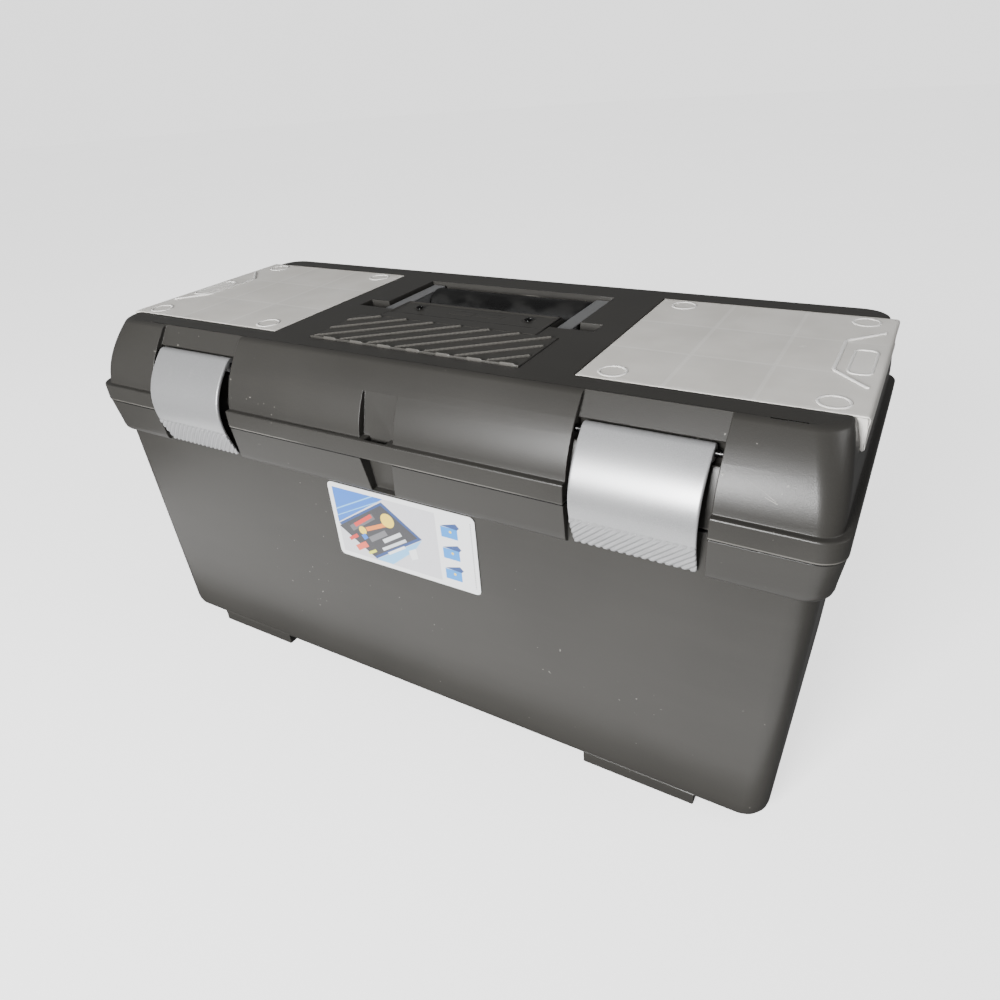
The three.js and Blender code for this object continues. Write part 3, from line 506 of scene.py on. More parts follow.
# %% Printed card
INKS = {
    "card": (0.82, 0.83, 0.84, 1), "panel": (0.62, 0.62, 0.65, 1), "pale": (0.62, 0.65, 0.68, 1),
    "blue": (0.015, 0.16, 0.62, 1), "navy": (0.01, 0.05, 0.2, 1), "sky": (0.2, 0.52, 0.85, 1),
    "azure": (0.01, 0.25, 0.72, 1), "dark": (0.03, 0.03, 0.035, 1), "coal": (0.11, 0.11, 0.12, 1),
    "red": (0.62, 0.03, 0.02, 1), "orange": (0.75, 0.1, 0.05, 1), "amber": (0.75, 0.2, 0.02, 1),
    "yellow": (0.85, 0.62, 0.06, 1), "lime": (0.7, 0.7, 0.05, 1), "hole": (0.35, 0.35, 0.36, 1),
    "soot": (0.14, 0.14, 0.15, 1),
}
TRAY_CORNERS = [(4, 37), (50, 7), (83, 31), (36, 62)]
TRAY_FLOOR = [(4, 39.5), (49, 10), (79, 31), (34, 60.5)]
TOOLS = [  # start, end, width and ink of each tool, laid from the back to the front
    ((16, 39), (40, 22), 5, "coal"), ((20, 35), (38, 22), 3.2, "red"),
    ((31, 36), (50, 27), 3.4, "amber"), ((26, 45), (30, 42), 4.4, "blue"),
    ((33, 45), (50, 34), 4.6, "soot"), ((46, 43), (64, 31.5), 3.4, "pale"),
    ((44, 51), (68, 36), 2.6, "pale"), ((49, 53.5), (66, 42.5), 2.2, "card"),
    ((12, 50), (21, 44), 3, "red"), ((18, 57), (29, 50), 5, "orange"),
    ((29, 59), (37, 54), 2.4, "lime"),
]
KNOBS = [((53, 22.5), 6.2), ((27, 38), 3.6)]
SMALL_PICTURES = {"tops": (9, 27.5, 46), "left": 101, "right": 115}
PERFORATION = {"u": 126.4, "pitch": 1.6, "gap": 0.7, "width": 0.9}


def disc(u, v, centre, radius, soft=0.25):
    """A round patch: inside radius of the centre."""
    squared = (u - centre[0]) ** 2 + (v - centre[1]) ** 2
    return squared.ramp((radius + soft) ** 2, (radius - soft) ** 2)


def below_line(u, v, start, end, soft=0.2):
    """1 on the right-hand side of the line from start to end, with v pointing down."""
    (u0, v0), (u1, v1) = start, end
    length = math.hypot(u1 - u0, v1 - v0)
    side = (v - v0) * ((u1 - u0) / length) - (u - u0) * ((v1 - v0) / length)
    return side.ramp(-soft, soft)


def four_sided(u, v, corners):
    """Inside a convex patch given by its corners, clockwise on the card: the product of its sides."""
    inside = below_line(u, v, corners[-1], corners[0])
    for start, end in zip(corners, corners[1:]):
        inside = inside * below_line(u, v, start, end)
    return inside


def box_picture(u, v):
    """The picture panel: an open box on a blue corner, with tools in its tray."""
    panel = band(u, v, (4, 33.5), (97, 33.5), 59)
    yield panel, "panel"
    yield panel * below_line(u, v, (52, 4), (4, 36)) * (u < 54), "blue"
    yield panel * band(u, v, (4, 24), (46, 2), 0.9), "sky"
    yield panel * band(u, v, (4, 30), (46, 8), 0.7), "sky"
    yield four_sided(u, v, [(36, 62.5), (83, 31.5), (74, 44), (52, 62.5)]), "sky"
    yield four_sided(u, v, [(69, 45), (76, 41), (77, 50), (71, 53)]), "card"
    yield panel * four_sided(u, v, TRAY_CORNERS), "navy"
    yield panel * four_sided(u, v, TRAY_FLOOR), "dark"
    for start, end, width, ink in TOOLS[:3]:
        yield band(u, v, start, end, width), ink
    for centre, radius in KNOBS:
        yield disc(u, v, centre, radius), "yellow"
    for start, end, width, ink in TOOLS[3:]:
        yield band(u, v, start, end, width), ink


def small_pictures(u, v):
    """Three small boxes with open lids, one above the other."""
    left, right = SMALL_PICTURES["left"], SMALL_PICTURES["right"]
    for top in SMALL_PICTURES["tops"]:
        lid = [(left, top + 4), (right - 1, top), (right + 2, top + 3), (right, top + 5)]
        yield band(u, v, (left, top + 9), (right, top + 9), 9), "azure"
        yield four_sided(u, v, lid), "navy"
        yield disc(u, v, (left + 8, top + 8), 1.1), "yellow"


def printed_card(name):
    """White card with flat printed shapes, laid over one another in order."""
    low, high = edges("front_label")
    r = Recipe(name, Coat_Weight=0.25, Coat_Roughness=0.2)
    u = r.x / MM - float(low[0])
    v = float(high[2]) - r.z / MM
    line = band(u, v, (PERFORATION["u"], 5), (PERFORATION["u"], 62), PERFORATION["width"])
    holes = (v.wrapped(PERFORATION["pitch"]) > PERFORATION["gap"]) * line
    paint = INKS["card"]
    for mask, ink in (*box_picture(u, v), *small_pictures(u, v), (holes, "hole")):
        paint = r.mix(mask, paint, INKS[ink])
    fibre = r.noise(900, 2)
    r.feed("Base Color", r.mix(fibre * 0.06, paint, grey(0.5)))
    r.feed("Roughness", 0.32 + fibre * 0.12)
    r.emboss(fibre, 0.012)
    return r.material


card_print = printed_card("printed_card")
print("card made of", len(card_print.node_tree.nodes), "nodes")

# %% [markdown]
# ## From arrays to meshes
#
# A moulded piece is smooth in two directions, so its surface is a grid of points worked out with
# whole numpy arrays. Blender could build it with its own tools, but arrays keep the formula in
# sight. These helpers number the faces of a grid and turn points in millimetres into a piece.

# %% Grids and pieces
def grid_faces(rows, columns, wrap_rows=False, wrap_columns=False):
    """Four corners for each cell of a grid whose points are numbered along its rows."""
    i = np.arange(rows if wrap_rows else rows - 1)[:, None]
    j = np.arange(columns if wrap_columns else columns - 1)[None, :]
    below, beside = (i + 1) % rows, (j + 1) % columns
    corners = [i * columns + j, i * columns + beside, below * columns + beside, below * columns + j]
    return np.stack(np.broadcast_arrays(*corners), -1).reshape(-1, 4)


def tube_faces(rows, columns):
    """A grid that closes round its columns, with one flat face over its first and its last ring."""
    ring = np.arange(columns)[None, :]
    return [grid_faces(rows, columns, wrap_columns=True), ring[:, ::-1], ring + (rows - 1) * columns]


def new_mesh(name, surfaces):
    """One mesh from several (points, face blocks), each block a table with a row for each face."""
    points, corners, sizes, first = [], [], [], 0
    for grid, blocks in surfaces:
        flat = grid.reshape(-1, 3)
        points.append(flat)
        corners += [block.ravel() + first for block in blocks]
        sizes += [np.full(len(block), block.shape[1]) for block in blocks]
        first += len(flat)
    sizes = np.concatenate(sizes)
    starts = np.concatenate([[0], np.cumsum(sizes)[:-1]])
    mesh = bpy.data.meshes.new(name)
    mesh.vertices.add(first)
    mesh.vertices.foreach_set("co", (np.concatenate(points) * MM).ravel().astype(np.float32))
    mesh.loops.add(int(sizes.sum()))
    mesh.loops.foreach_set("vertex_index", np.concatenate(corners).astype(np.int32))
    mesh.polygons.add(len(sizes))
    mesh.polygons.foreach_set("loop_start", starts.astype(np.int32))
    mesh.update(calc_edges=True)
    mesh.validate()
    return mesh


SAME_POINT = 1e-7  # metres
SAME_CORNER = 2e-6  # metres, for the engineering model's rounded coordinates


def settle(mesh, crease):
    """Merges doubles, turns every face outwards, and shades smooth except over sharp edges."""
    work = bmesh.new()
    work.from_mesh(mesh)
    bmesh.ops.remove_doubles(work, verts=work.verts, dist=SAME_POINT)
    bmesh.ops.recalc_face_normals(work, faces=work.faces)
    work.to_mesh(mesh)
    work.free()
    mesh.shade_smooth()
    mesh.set_sharp_from_angle(angle=math.radians(crease))


def place_piece(name, mesh, material, body, slot, *nodes):
    """Puts a mesh in the scene with its material, hangs it on the body it rides on, and hides the nodes it
    takes the place of.
    """
    mesh.materials.clear()
    mesh.materials.append(material)
    piece = bpy.data.objects.new(name, mesh)
    bpy.context.scene.collection.objects.link(piece)
    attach(piece, body)
    if nodes:
        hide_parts(*nodes)
    print(f"{name}: {len(mesh.polygons)} faces")
    return piece


def resampled(points, spacing, closed=True):
    """The same line with its points evenly spaced along it."""
    line = np.vstack([points, points[:1]]) if closed else np.asarray(points, float)
    steps = np.linalg.norm(np.diff(line, axis=0), axis=1)
    along = np.concatenate([[0], np.cumsum(steps)])
    count = max(int(round(along[-1] / spacing)), 3)
    places = np.linspace(0, along[-1], count, endpoint=not closed)
    return np.stack([np.interp(places, along, line[:, k]) for k in range(line.shape[1])], axis=1)


def arc(centre, radius, start, end, count):
    """Points on a circle from one angle to another, in degrees."""
    angle = np.radians(np.linspace(start, end, count))
    return np.stack([centre[0] + radius * np.cos(angle), centre[1] + radius * np.sin(angle)], axis=1)


def rounded_corners(corners, radii):
    """A closed outline through the corners, each replaced by an arc of its radius.

    Each arc touches both sides at radius / tan(half the corner's angle) from the corner.
    """
    corners = np.asarray(corners, float)
    before = np.roll(corners, 1, axis=0) - corners
    after = np.roll(corners, -1, axis=0) - corners
    before /= np.linalg.norm(before, axis=1, keepdims=True)
    after /= np.linalg.norm(after, axis=1, keepdims=True)
    half = np.arccos(np.clip((before * after).sum(1), -1, 1)) / 2
    radii = np.broadcast_to(np.asarray(radii, float), half.shape)
    reach = radii / np.tan(half)
    bisector = before + after
    bisector /= np.linalg.norm(bisector, axis=1, keepdims=True)
    centre = corners + bisector * (radii / np.sin(half))[:, None]
    first = corners + before * reach[:, None] - centre
    last = corners + after * reach[:, None] - centre
    share = np.linspace(0, 1, ARC_POINTS)[None, :, None]
    chord = first[:, None] * (1 - share) + last[:, None] * share
    chord *= (radii[:, None] / np.linalg.norm(chord, axis=2))[..., None]
    return (centre[:, None] + chord).reshape(-1, 2)


def outward(outline):
    """Unit normals of a closed outline, away from its inside whichever way it runs."""
    ahead = np.roll(outline, -1, axis=0) - np.roll(outline, 1, axis=0)
    normals = np.stack([ahead[:, 1], -ahead[:, 0]], axis=1)
    normals /= np.linalg.norm(normals, axis=1, keepdims=True)
    following = np.roll(outline, -1, axis=0)
    area = (outline[:, 0] * following[:, 1] - outline[:, 1] * following[:, 0]).sum()
    return normals * np.sign(area)


def edge_rounds(start, end, radius, spacing):
    """Places from start to end and the shrinkage there: radius times (1 - sin t) at radius times
    (1 - cos t) from either end, so that both end edges become quarter rounds."""
    turn = np.linspace(0, np.pi / 2, EDGE_STEPS + 1)
    near, shrink = radius * (1 - np.cos(turn)), radius * (1 - np.sin(turn))
    count = max(int((end - start - 2 * radius) / spacing), 1)
    middle = np.linspace(start + radius, end - radius, count + 1)[1:-1]
    places = np.concatenate([start + near, middle, end - near[::-1]])
    return places, np.concatenate([shrink, np.zeros(len(middle)), shrink[::-1]])


def carried(outline, start, end, radius, spacing, relief, axes="xyz"):
    """A closed section carried along a line, with rounded end edges and a relief on its faces.

    Point = outline + outward normal x (relief(place, outline) - shrinkage of the end edge).
    axes names the axis of the line and the two axes of the section.
    """
    along, first, second = ("xyz".index(axis) for axis in axes)
    places, shrink = edge_rounds(start, end, radius, spacing)
    lift = relief(places[:, None], outline[None, :, :]) - shrink[:, None]
    section = outline[None] + outward(outline)[None] * lift[..., None]
    points = np.empty(lift.shape + (3,))
    points[..., along] = places[:, None]
    points[..., first] = section[..., 0]
    points[..., second] = section[..., 1]
    return points, tube_faces(*lift.shape)


def turned(profile, centre, axis, count):
    """A profile of (place along the axis, radius) turned about an axis, closed by its end rings."""
    angle = np.linspace(0, 2 * np.pi, count, endpoint=False)
    place, radius = np.asarray(profile, float).T
    along = "xyz".index(axis)
    first, second = (k for k in range(3) if k != along)
    points = np.empty((len(place), count, 3))
    points[..., along] = place[:, None]
    points[..., first] = centre[0] + radius[:, None] * np.cos(angle)
    points[..., second] = centre[1] + radius[:, None] * np.sin(angle)
    return points, tube_faces(len(place), count)


def smooth_step(value, low, high):
    """0 below low, 1 above high, and 3t² - 2t³ between; low may be the larger."""
    t = np.clip((value - low) / (high - low), 0, 1)
    return t * t * (3 - 2 * t)


print("mesh helpers ready")

# %% [markdown]
# ## Shells: body, lid, tray and organisers
#
# The big mouldings already have their true shape in the engineering model, but as loose triangles
# with knife edges. A real mould leaves a radius on every edge, and that radius is what catches the
# light. So each shell is copied, its doubles are merged, a small Bevel rounds the edges, and
# Weighted Normal keeps the flat walls flat in the shading.

# %% Shells with rounded edges
SHARP = math.radians(32)  # an edge that turns by more than this is rounded


def moulded_copy(node, material, body, slot, radius):
    """A copy of a node with every sharp edge rounded to radius millimetres."""
    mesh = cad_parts[node].data.copy()
    mesh.name = node + "_moulding"
    work = bmesh.new()
    work.from_mesh(mesh)
    bmesh.ops.remove_doubles(work, verts=work.verts, dist=SAME_CORNER)
    work.to_mesh(mesh)
    work.free()
    mesh.shade_smooth()
    mesh.set_sharp_from_angle(angle=SHARP)
    piece = place_piece(node + "_moulding", mesh, material, body, slot, node)
    bevel = piece.modifiers.new("edge radius", "BEVEL")
    bevel.width = radius * MM
    bevel.segments = 2
    bevel.limit_method = "ANGLE"
    bevel.angle_limit = SHARP
    bevel.use_clamp_overlap = False
    bevel.harden_normals = False
    weighted = piece.modifiers.new("flat faces stay flat", "WEIGHTED_NORMAL")
    weighted.keep_sharp = False
    return piece


moulded_copy("body_shell", graphite, "body", "graphite", radius=0.7)
moulded_copy("lid_shell", graphite, "lid", "graphite", radius=0.6)
moulded_copy("tray", tray_plastic, "tray", "tray_grey", radius=0.5)
moulded_copy("handle_frame", arm_plastic, "handle", "arm_grey", radius=0.9)
for name in SIDES:
    moulded_copy("organiser_box_" + name, natural, "organiser_" + name, "natural_box", radius=0.35)

# %% [markdown]
# ## Latches
#
# A latch is a curved flap that turns on a pin near the top of the lid. Seen from the end it is a
# thin hook: a barrel, a long curve over the belly, and a thinner tip. The lower part carries
# diagonal ribs for the thumb. The flap could be extruded and the ribs cut, but here both are one
# surface: the section is carried along X, and the ribs are a relief on it.

# %% Latch section
PIVOT_TO_TOP = 19.5  # from the flat top of the lid down to the latch pins
LATCH = {"barrel": 5.5, "wall": 2.8, "tip_thinning": 1.4, "belly_up": 33.6, "edge": 1.1, "step": 0.7}
LATCH_TIP = {"inward": 9.6, "up": 0.1}
PULLS = {"start": (-10, -10), "over_belly": (0, 17), "under_belly": (0, -13), "tip": (-4.5, 11)}
CURVE_POINTS = 60
THUMB_RIB = {"pitch": 4.9, "rise": 0.75, "zone": 21.5, "fade": 0.9, "step": 0.62}
lid_top = edges("organiser_cover_right")[1][2]


def bezier(a, b, c, d):
    """A cubic curve through a and d that leaves towards b and arrives from c, and its tangents."""
    t = np.linspace(0, 1, CURVE_POINTS)[:, None]
    points = (1 - t) ** 3 * a + 3 * (1 - t) ** 2 * t * b + 3 * (1 - t) * t ** 2 * c + t ** 3 * d
    tangents = (1 - t) ** 2 * (b - a) + 2 * (1 - t) * t * (c - b) + t ** 2 * (d - c)
    return points, tangents / np.linalg.norm(tangents, axis=1, keepdims=True)


def degrees_of(way):
    """The direction of a (y, z) pair in degrees."""
    return math.degrees(math.atan2(way[1], way[0]))


def outer_curve(pivot, low):
    """The outside of the flap from barrel to belly to tip, its tangents, and the wall behind it.

    The wall thins by the square of the way from belly to tip.
    """
    reach = LATCH["barrel"] * math.sqrt(0.5)
    start = pivot + (-reach, reach)
    belly = np.array([low[1], low[2] + LATCH["belly_up"]])
    tip = np.array([low[1] + LATCH_TIP["inward"], low[2] + LATCH_TIP["up"]])
    upper, upper_way = bezier(start, start + PULLS["start"], belly + PULLS["over_belly"], belly)
    lower, lower_way = bezier(belly, belly + PULLS["under_belly"], tip + PULLS["tip"], tip)
    share = np.concatenate([np.zeros(CURVE_POINTS), np.linspace(0, 1, CURVE_POINTS)[1:]])
    wall = LATCH["wall"] - LATCH["tip_thinning"] * share ** 2
    return np.vstack([upper, lower[1:]]), np.vstack([upper_way, lower_way[1:]]), wall


def latch_section():
    """The flap from the end, as (y, z): outer curve, rounded tip, inner curve, barrel.

    The inner curve is the outer one moved along its normal by the wall.
    """
    pin_low, pin_high = edges("latch_pin_right")
    pivot = np.array([(pin_low[1] + pin_high[1]) / 2, lid_top - PIVOT_TO_TOP])
    outer, way, wall = outer_curve(pivot, edges("latch_right")[0])
    inner = outer + np.stack([-way[:, 1], way[:, 0]], axis=1) * wall[:, None]
    inner = inner[np.linalg.norm(inner - pivot, axis=1) > LATCH["barrel"]][::-1]
    leave = degrees_of(inner[-1] - pivot) % 360
    barrel = arc(pivot, LATCH["barrel"], leave, 135 + 360, 40)[1:-1]
    middle = (outer[-1] + inner[0]) / 2
    heading = degrees_of(outer[-1] - middle)
    radius = np.linalg.norm(outer[-1] - middle)
    round_tip = arc(middle, radius, heading, heading + 180, ARC_POINTS)[1:-1]
    return resampled(np.vstack([outer, round_tip, inner, barrel]), LATCH["step"])


section = latch_section()
print("latch section", len(section), "points")
print("from", section.min(0).round(1), "to", section.max(0).round(1))

# %% [markdown]
# The ribs are a wave that runs diagonally over the flap. Its crests and troughs are cut flat, and
# it begins within a millimetre, so every rib starts with the small step that a mould leaves.

# %% Latch with thumb ribs
def thumb_ribs(x, outline):
    """Ribs at 45 degrees: a wave of x minus height, only on the outer face of the rib zone."""
    z = outline[..., 1]
    down = section[:, 1].min() + THUMB_RIB["zone"] - z
    wave = smooth_step(np.cos(2 * np.pi * (x - z) / THUMB_RIB["pitch"]), -0.75, 0.05)
    outer_face = outward(section)[None, :, 0] < 0.25
    return THUMB_RIB["rise"] * wave * smooth_step(down, 0, THUMB_RIB["fade"]) * outer_face


for name in SIDES:
    low, high = edges("latch_" + name)
    flap = carried(section, low[0], high[0], LATCH["edge"], THUMB_RIB["step"], thumb_ribs)
    mesh = new_mesh("latch_flap_" + name, [flap])
    settle(mesh, crease=50)
    place_piece("latch_flap_" + name, mesh, silver, "latch_" + name, "latch_silver", "latch_" + name)

# %% [markdown]
# ## Clear covers
#
# Each organiser has a clear cover: a sheet that turns on a bead along its inner edge, with a flap
# that folds down over the open end of the lid. It is one section, a hook, carried along Y. The
# moulded marks on it are raised lines: a ring in each corner, the tab for the finger, and a frame
# round the tab. Each line is a half-round bead that follows a path over the sheet.

# %% Cover section and raised lines
COVER = {"sheet": 1.6, "bead": 1.3, "bead_end": 320, "fold": 2.2, "edge": 0.5, "outline_step": 0.75,
         "step": 3.5}
RING = {"radius": 8.6, "inset": 20, "from_edge": 13.5, "width": 1.9, "rise": 0.5}
TAB = {"inner": 27.4, "outer": 5.5, "front": -13.5, "back": 41.5, "flare": 23, "width": 2.6, "rise": 0.9}
FINGER = {"inner": 19.8, "outer": 6.6, "front": -16, "back": 27, "corner": 4.5, "width": 1.8,
          "rise": 0.6}
LINE_STEP = 1.2
UNDER_SHEET = 0.3
CHEEK = {"thick": 0.35, "down": 0.8, "outline": [(8, 0), (0.6, 0), (0.6, -19), (1.8, -19), (8, -5)]}
GROOVE = {"depth": 0.45, "down": 5.5, "half": 0.9, "lip": 2.2}
RAISED_SPAN = 0.3


def cover_section(low, high, side):
    """The cover from the front, as (x, z): bead, sheet, folded end, flap, and back underneath.

    The last two of the six corners only close the outline, so their arcs are left off.
    """
    inner, end = (low[0], high[0]) if side > 0 else (-high[0], -low[0])
    top, foot, thick = high[2], low[2], COVER["sheet"]
    bead_centre = (inner + COVER["bead"], top - COVER["bead"])
    bead = arc(bead_centre, COVER["bead"], 90, COVER["bead_end"], 12)
    corners = [(end, top), (end, foot), (end - thick, foot), (end - thick, top - thick),
               (inner + 4, top - thick), (inner + 4, top)]
    fold = rounded_corners(corners, [COVER["fold"], 0.6, 0.6, 0.7, 0.1, 0.1])[:4 * ARC_POINTS]
    return resampled(np.vstack([bead, fold[::-1]]) * (side, 1), COVER["outline_step"])


def raised_line(path, width, rise, top, closed=True):
    """A half-round bead along a path: across = width/2 cos t, up = rise sin t, for t from 0 to a
    half turn, and a flat underside just inside the sheet."""
    path = np.asarray(path, float)
    ahead = np.roll(path, -1, axis=0) - np.roll(path, 1, axis=0)
    if not closed:
        ahead[0], ahead[-1] = path[1] - path[0], path[-1] - path[-2]
    across = np.stack([-ahead[:, 1], ahead[:, 0]], axis=1)
    across /= np.linalg.norm(across, axis=1, keepdims=True)
    t = np.linspace(0, np.pi, ARC_POINTS)
    offset = np.concatenate([width / 2 * np.cos(t), [-width / 2, width / 2]])
    height = np.concatenate([rise * np.sin(t), [-UNDER_SHEET, -UNDER_SHEET]])
    if not closed:
        fade = np.ones(len(path))
        fade[[0, -1]] = 0.05
        offset = offset * fade[:, None]
    offset = np.broadcast_to(offset, (len(path), len(height)))
    plan = path[:, None, :] + across[:, None, :] * offset[..., None]
    points = np.dstack([plan, np.broadcast_to(top + height, plan.shape[:2])])
    if closed:
        return points, [grid_faces(*points.shape[:2], wrap_rows=True, wrap_columns=True)]
    return points, tube_faces(*points.shape[:2])


def corner_rings(low, high, side):
    """A ring in each corner of the cover."""
    end, bead_edge = (high[0], low[0]) if side > 0 else (low[0], high[0])
    for x in (bead_edge + side * RING["inset"], end - side * RING["inset"]):
        for y in (low[1] + RING["from_edge"], high[1] - RING["from_edge"]):
            path = arc((x, y), RING["radius"], 0, 350, 36)
            yield raised_line(path, RING["width"], RING["rise"], high[2])


def tab_lines(end, side, top):
    """The tab's frame, which flares towards the cover's end, and the finger patch inside it."""
    inner, outer = end - side * TAB["inner"], end - side * TAB["outer"]
    bend = rounded_corners([(outer, TAB["front"] - TAB["flare"]), (inner, TAB["front"]),
                            (inner, TAB["back"]), (outer, TAB["back"] + TAB["flare"])], [0.1, 6, 6, 0.1])
    path = resampled(bend, LINE_STEP, closed=False)
    yield raised_line(path, TAB["width"], TAB["rise"], top, closed=False)
    left, right = sorted((end - side * FINGER["inner"], end - side * FINGER["outer"]))
    patch = rounded_corners([(left, FINGER["front"]), (right, FINGER["front"]),
                             (right, FINGER["back"]), (left, FINGER["back"])], FINGER["corner"])
    yield raised_line(resampled(patch, LINE_STEP), FINGER["width"], FINGER["rise"], top)


def end_cheek(end, top, side, y):
    """A thin web that closes one end of the flap: its outline in x and z, carried along y."""
    corners = [(end - side * inward, top - CHEEK["down"] + up) for inward, up in CHEEK["outline"]]
    points = np.array([[(x, place, z) for x, z in corners] for place in y], float)
    return points, tube_faces(2, len(corners))


def mark_raised(mesh, level):
    """Writes "raised" on every point: its height over level, 1 from RAISED_SPAN upwards."""
    heights = np.empty(len(mesh.vertices) * 3, np.float32)
    mesh.vertices.foreach_get("co", heights)
    share = np.clip((heights[2::3] / MM - level) / RAISED_SPAN, 0, 1)
    raised = mesh.attributes.new("raised", "FLOAT", "POINT")
    raised.data.foreach_set("value", share.astype(np.float32))


def flap_grooves(low, high):
    """A relief for the flap: a groove near its fold and a lip at its foot, on the outer face only."""
    lip, groove = low[2] + GROOVE["lip"], high[2] - GROOVE["down"]

    def relief(place, outline):
        x, z = outline[..., 0], outline[..., 1]
        outside = np.abs(x) > np.abs(x).max() - 0.2
        line = np.exp(-((z - groove) / GROOVE["half"]) ** 2)
        field = smooth_step(z, lip, lip + 1) * smooth_step(z, groove - 0.5, groove - 1.5)
        return -GROOVE["depth"] * (line + field) * outside * np.ones_like(place)
    return relief


for name, side in SIDES.items():
    low, high = edges("organiser_cover_" + name)
    outline = cover_section(low, high, side)
    grooves = flap_grooves(low, high)
    sheet = carried(outline, low[1], high[1], COVER["edge"], COVER["step"], grooves, axes="yxz")
    end = high[0] if side > 0 else low[0]
    webs = ((low[1], low[1] + CHEEK["thick"]), (high[1] - CHEEK["thick"], high[1]))
    cheeks = [end_cheek(end, high[2], side, y) for y in webs]
    lines = [*corner_rings(low, high, side), *tab_lines(end, side, high[2])]
    mesh = new_mesh("clear_cover_" + name, [sheet, *cheeks, *lines])
    settle(mesh, crease=40)
    mark_raised(mesh, high[2])
    place_piece("clear_cover_" + name, mesh, clear, "cover_" + name, "clear_cover", "organiser_cover_" + name)

# %% [markdown]
# ## Grip plate and its panel
#
# In front of the handle a ribbed plate is let into the lid, with a smaller panel behind it that
# carries two screws. Ribs could be cut boxes, but moulded ribs have sloping flanks and round ends.
# So the plate's top is a height field: one formula adds the ribs, the nose along the front edge
# and the rounded border, and the side walls drop from the edge of the same grid.

# %% Height-field blocks
RIB = {"angle": 38.7, "pitch": 25, "first": -138, "width": 1.3, "rise": 1.5, "flank": 0.45}
TOOTH = {"width": 11, "rise": 0.8, "behind": 1.5, "depth": 3.6, "flank": 0.4}
PLATE = {"sheet": 1.6, "depth": 59.5, "nose": 1.2, "nose_rise": 0.9, "edge": 0.7, "step": 0.55}
PANEL = {"half": 70, "strip": 14, "rim": 2, "rim_rise": 0.8, "drop": 0.5, "step": 0.8}
BLANK = {"offset": 13, "half_width": 10, "half_depth": 3.8, "lean": 0.35, "rise": 0.3}
SEAT = {"radius": 4.8, "depth": 0.25}
SOFT = 0.4  # half the width of most flanks
GAP = {"back": 1.4, "ends": 1.2, "front": 0.8}  # from the border to where a rib begins
RIB_FOOT = 0.45  # where a rib's painted highlight begins, above the sheet


def border_drop(x, y, x_range, y_range, radius):
    """How far a rounded border falls: radius - sqrt(radius² - (radius - d)²), d from the edge."""
    from_ends = np.minimum(x - x_range[0], x_range[1] - x)
    from_sides = np.minimum(y - y_range[0], y_range[1] - y)
    inward = np.clip(radius - np.minimum(from_ends, from_sides), 0, radius)
    return radius - np.sqrt(np.maximum(radius ** 2 - inward ** 2, 0))


def spread(start, end, step, radius):
    """Grid places that crowd towards both ends, where the border is rounded."""
    near = radius * (1 - np.cos(np.linspace(0, np.pi / 2, EDGE_STEPS + 1)))
    count = max(int((end - start - 2 * radius) / step), 2)
    middle = np.linspace(start + radius, end - radius, count)[1:-1]
    return np.concatenate([start + near, middle, end - near[::-1]])


def height_block(x_range, y_range, bottom, height, step, radius):
    """A closed block whose top is height(x, y): a grid, its border dropped to bottom, and a floor."""
    places = [spread(*reach, step, radius) for reach in (x_range, y_range)]
    x, y = np.meshgrid(*places, indexing="ij")
    z = height(x, y) - border_drop(x, y, x_range, y_range, radius)
    top = np.dstack([x, y, z])
    rows, columns = x.shape
    number = np.arange(rows * columns).reshape(rows, columns)
    ring = np.concatenate([number[:, 0], number[-1, 1:], number[-2::-1, -1], number[0, -2:0:-1]])
    floor = top.reshape(-1, 3)[ring].copy()
    floor[:, 2] = bottom
    low = np.arange(len(ring)) + rows * columns
    walls = np.stack([ring, np.roll(ring, -1), np.roll(low, -1), low], axis=1)
    return np.concatenate([top.reshape(-1, 3), floor]), [grid_faces(rows, columns), walls, low[None, :]]


def rib_shares(x, y, front):
    """1 on the ribs and 0 between them, by the distance across to the nearest rib's middle line."""
    angle = math.radians(RIB["angle"])
    slant = (y - front) / math.tan(angle)
    phase = (x - RIB["first"] - slant + RIB["pitch"] / 2) % RIB["pitch"] - RIB["pitch"] / 2
    across = np.abs(phase) * math.sin(angle)
    return 1 - smooth_step(across, RIB["width"] / 2 - RIB["flank"], RIB["width"] / 2 + RIB["flank"])


def plate_top(front, back, half, level):
    """Ribs that stop short of the border, the nose along the front, and a tooth at each rib's foot."""
    def height(x, y):
        last, end, first = back - GAP["back"], half - GAP["ends"], front + GAP["front"]
        inside = smooth_step(y, last, last - 1) * smooth_step(np.abs(x), end, end - 1)
        ribs = RIB["rise"] * rib_shares(x, y, front) * inside * smooth_step(y, first, first + 1.6)
        edge = front + PLATE["nose"]
        nose = PLATE["nose_rise"] * smooth_step(y, edge + SOFT, edge - SOFT)
        phase = (x - RIB["first"]) % RIB["pitch"]
        reach = TOOTH["width"] / 2
        off = np.abs(phase - RIB["pitch"] + reach + TOOTH["behind"])
        tooth = smooth_step(off, reach + TOOTH["flank"], reach - TOOTH["flank"]) * TOOTH["rise"]
        tooth = tooth * smooth_step(y, front + TOOTH["depth"], front + TOOTH["depth"] - 0.8)
        return level + np.maximum(np.maximum(ribs, nose), nose + tooth)
    return height


def blank_patches(x, y, front, back):
    """Two raised patches with nothing on them, side by side between the screws."""
    lean = (y - front) * BLANK["lean"]
    half, depth = BLANK["half_width"], BLANK["half_depth"]
    patches = sum(smooth_step(np.abs(x - side * BLANK["offset"] - lean), half + 0.5, half - 0.5)
                  for side in SIDES.values())
    inside = smooth_step(np.abs(y - (front + back) / 2), depth + SOFT, depth - SOFT)
    return BLANK["rise"] * patches * inside


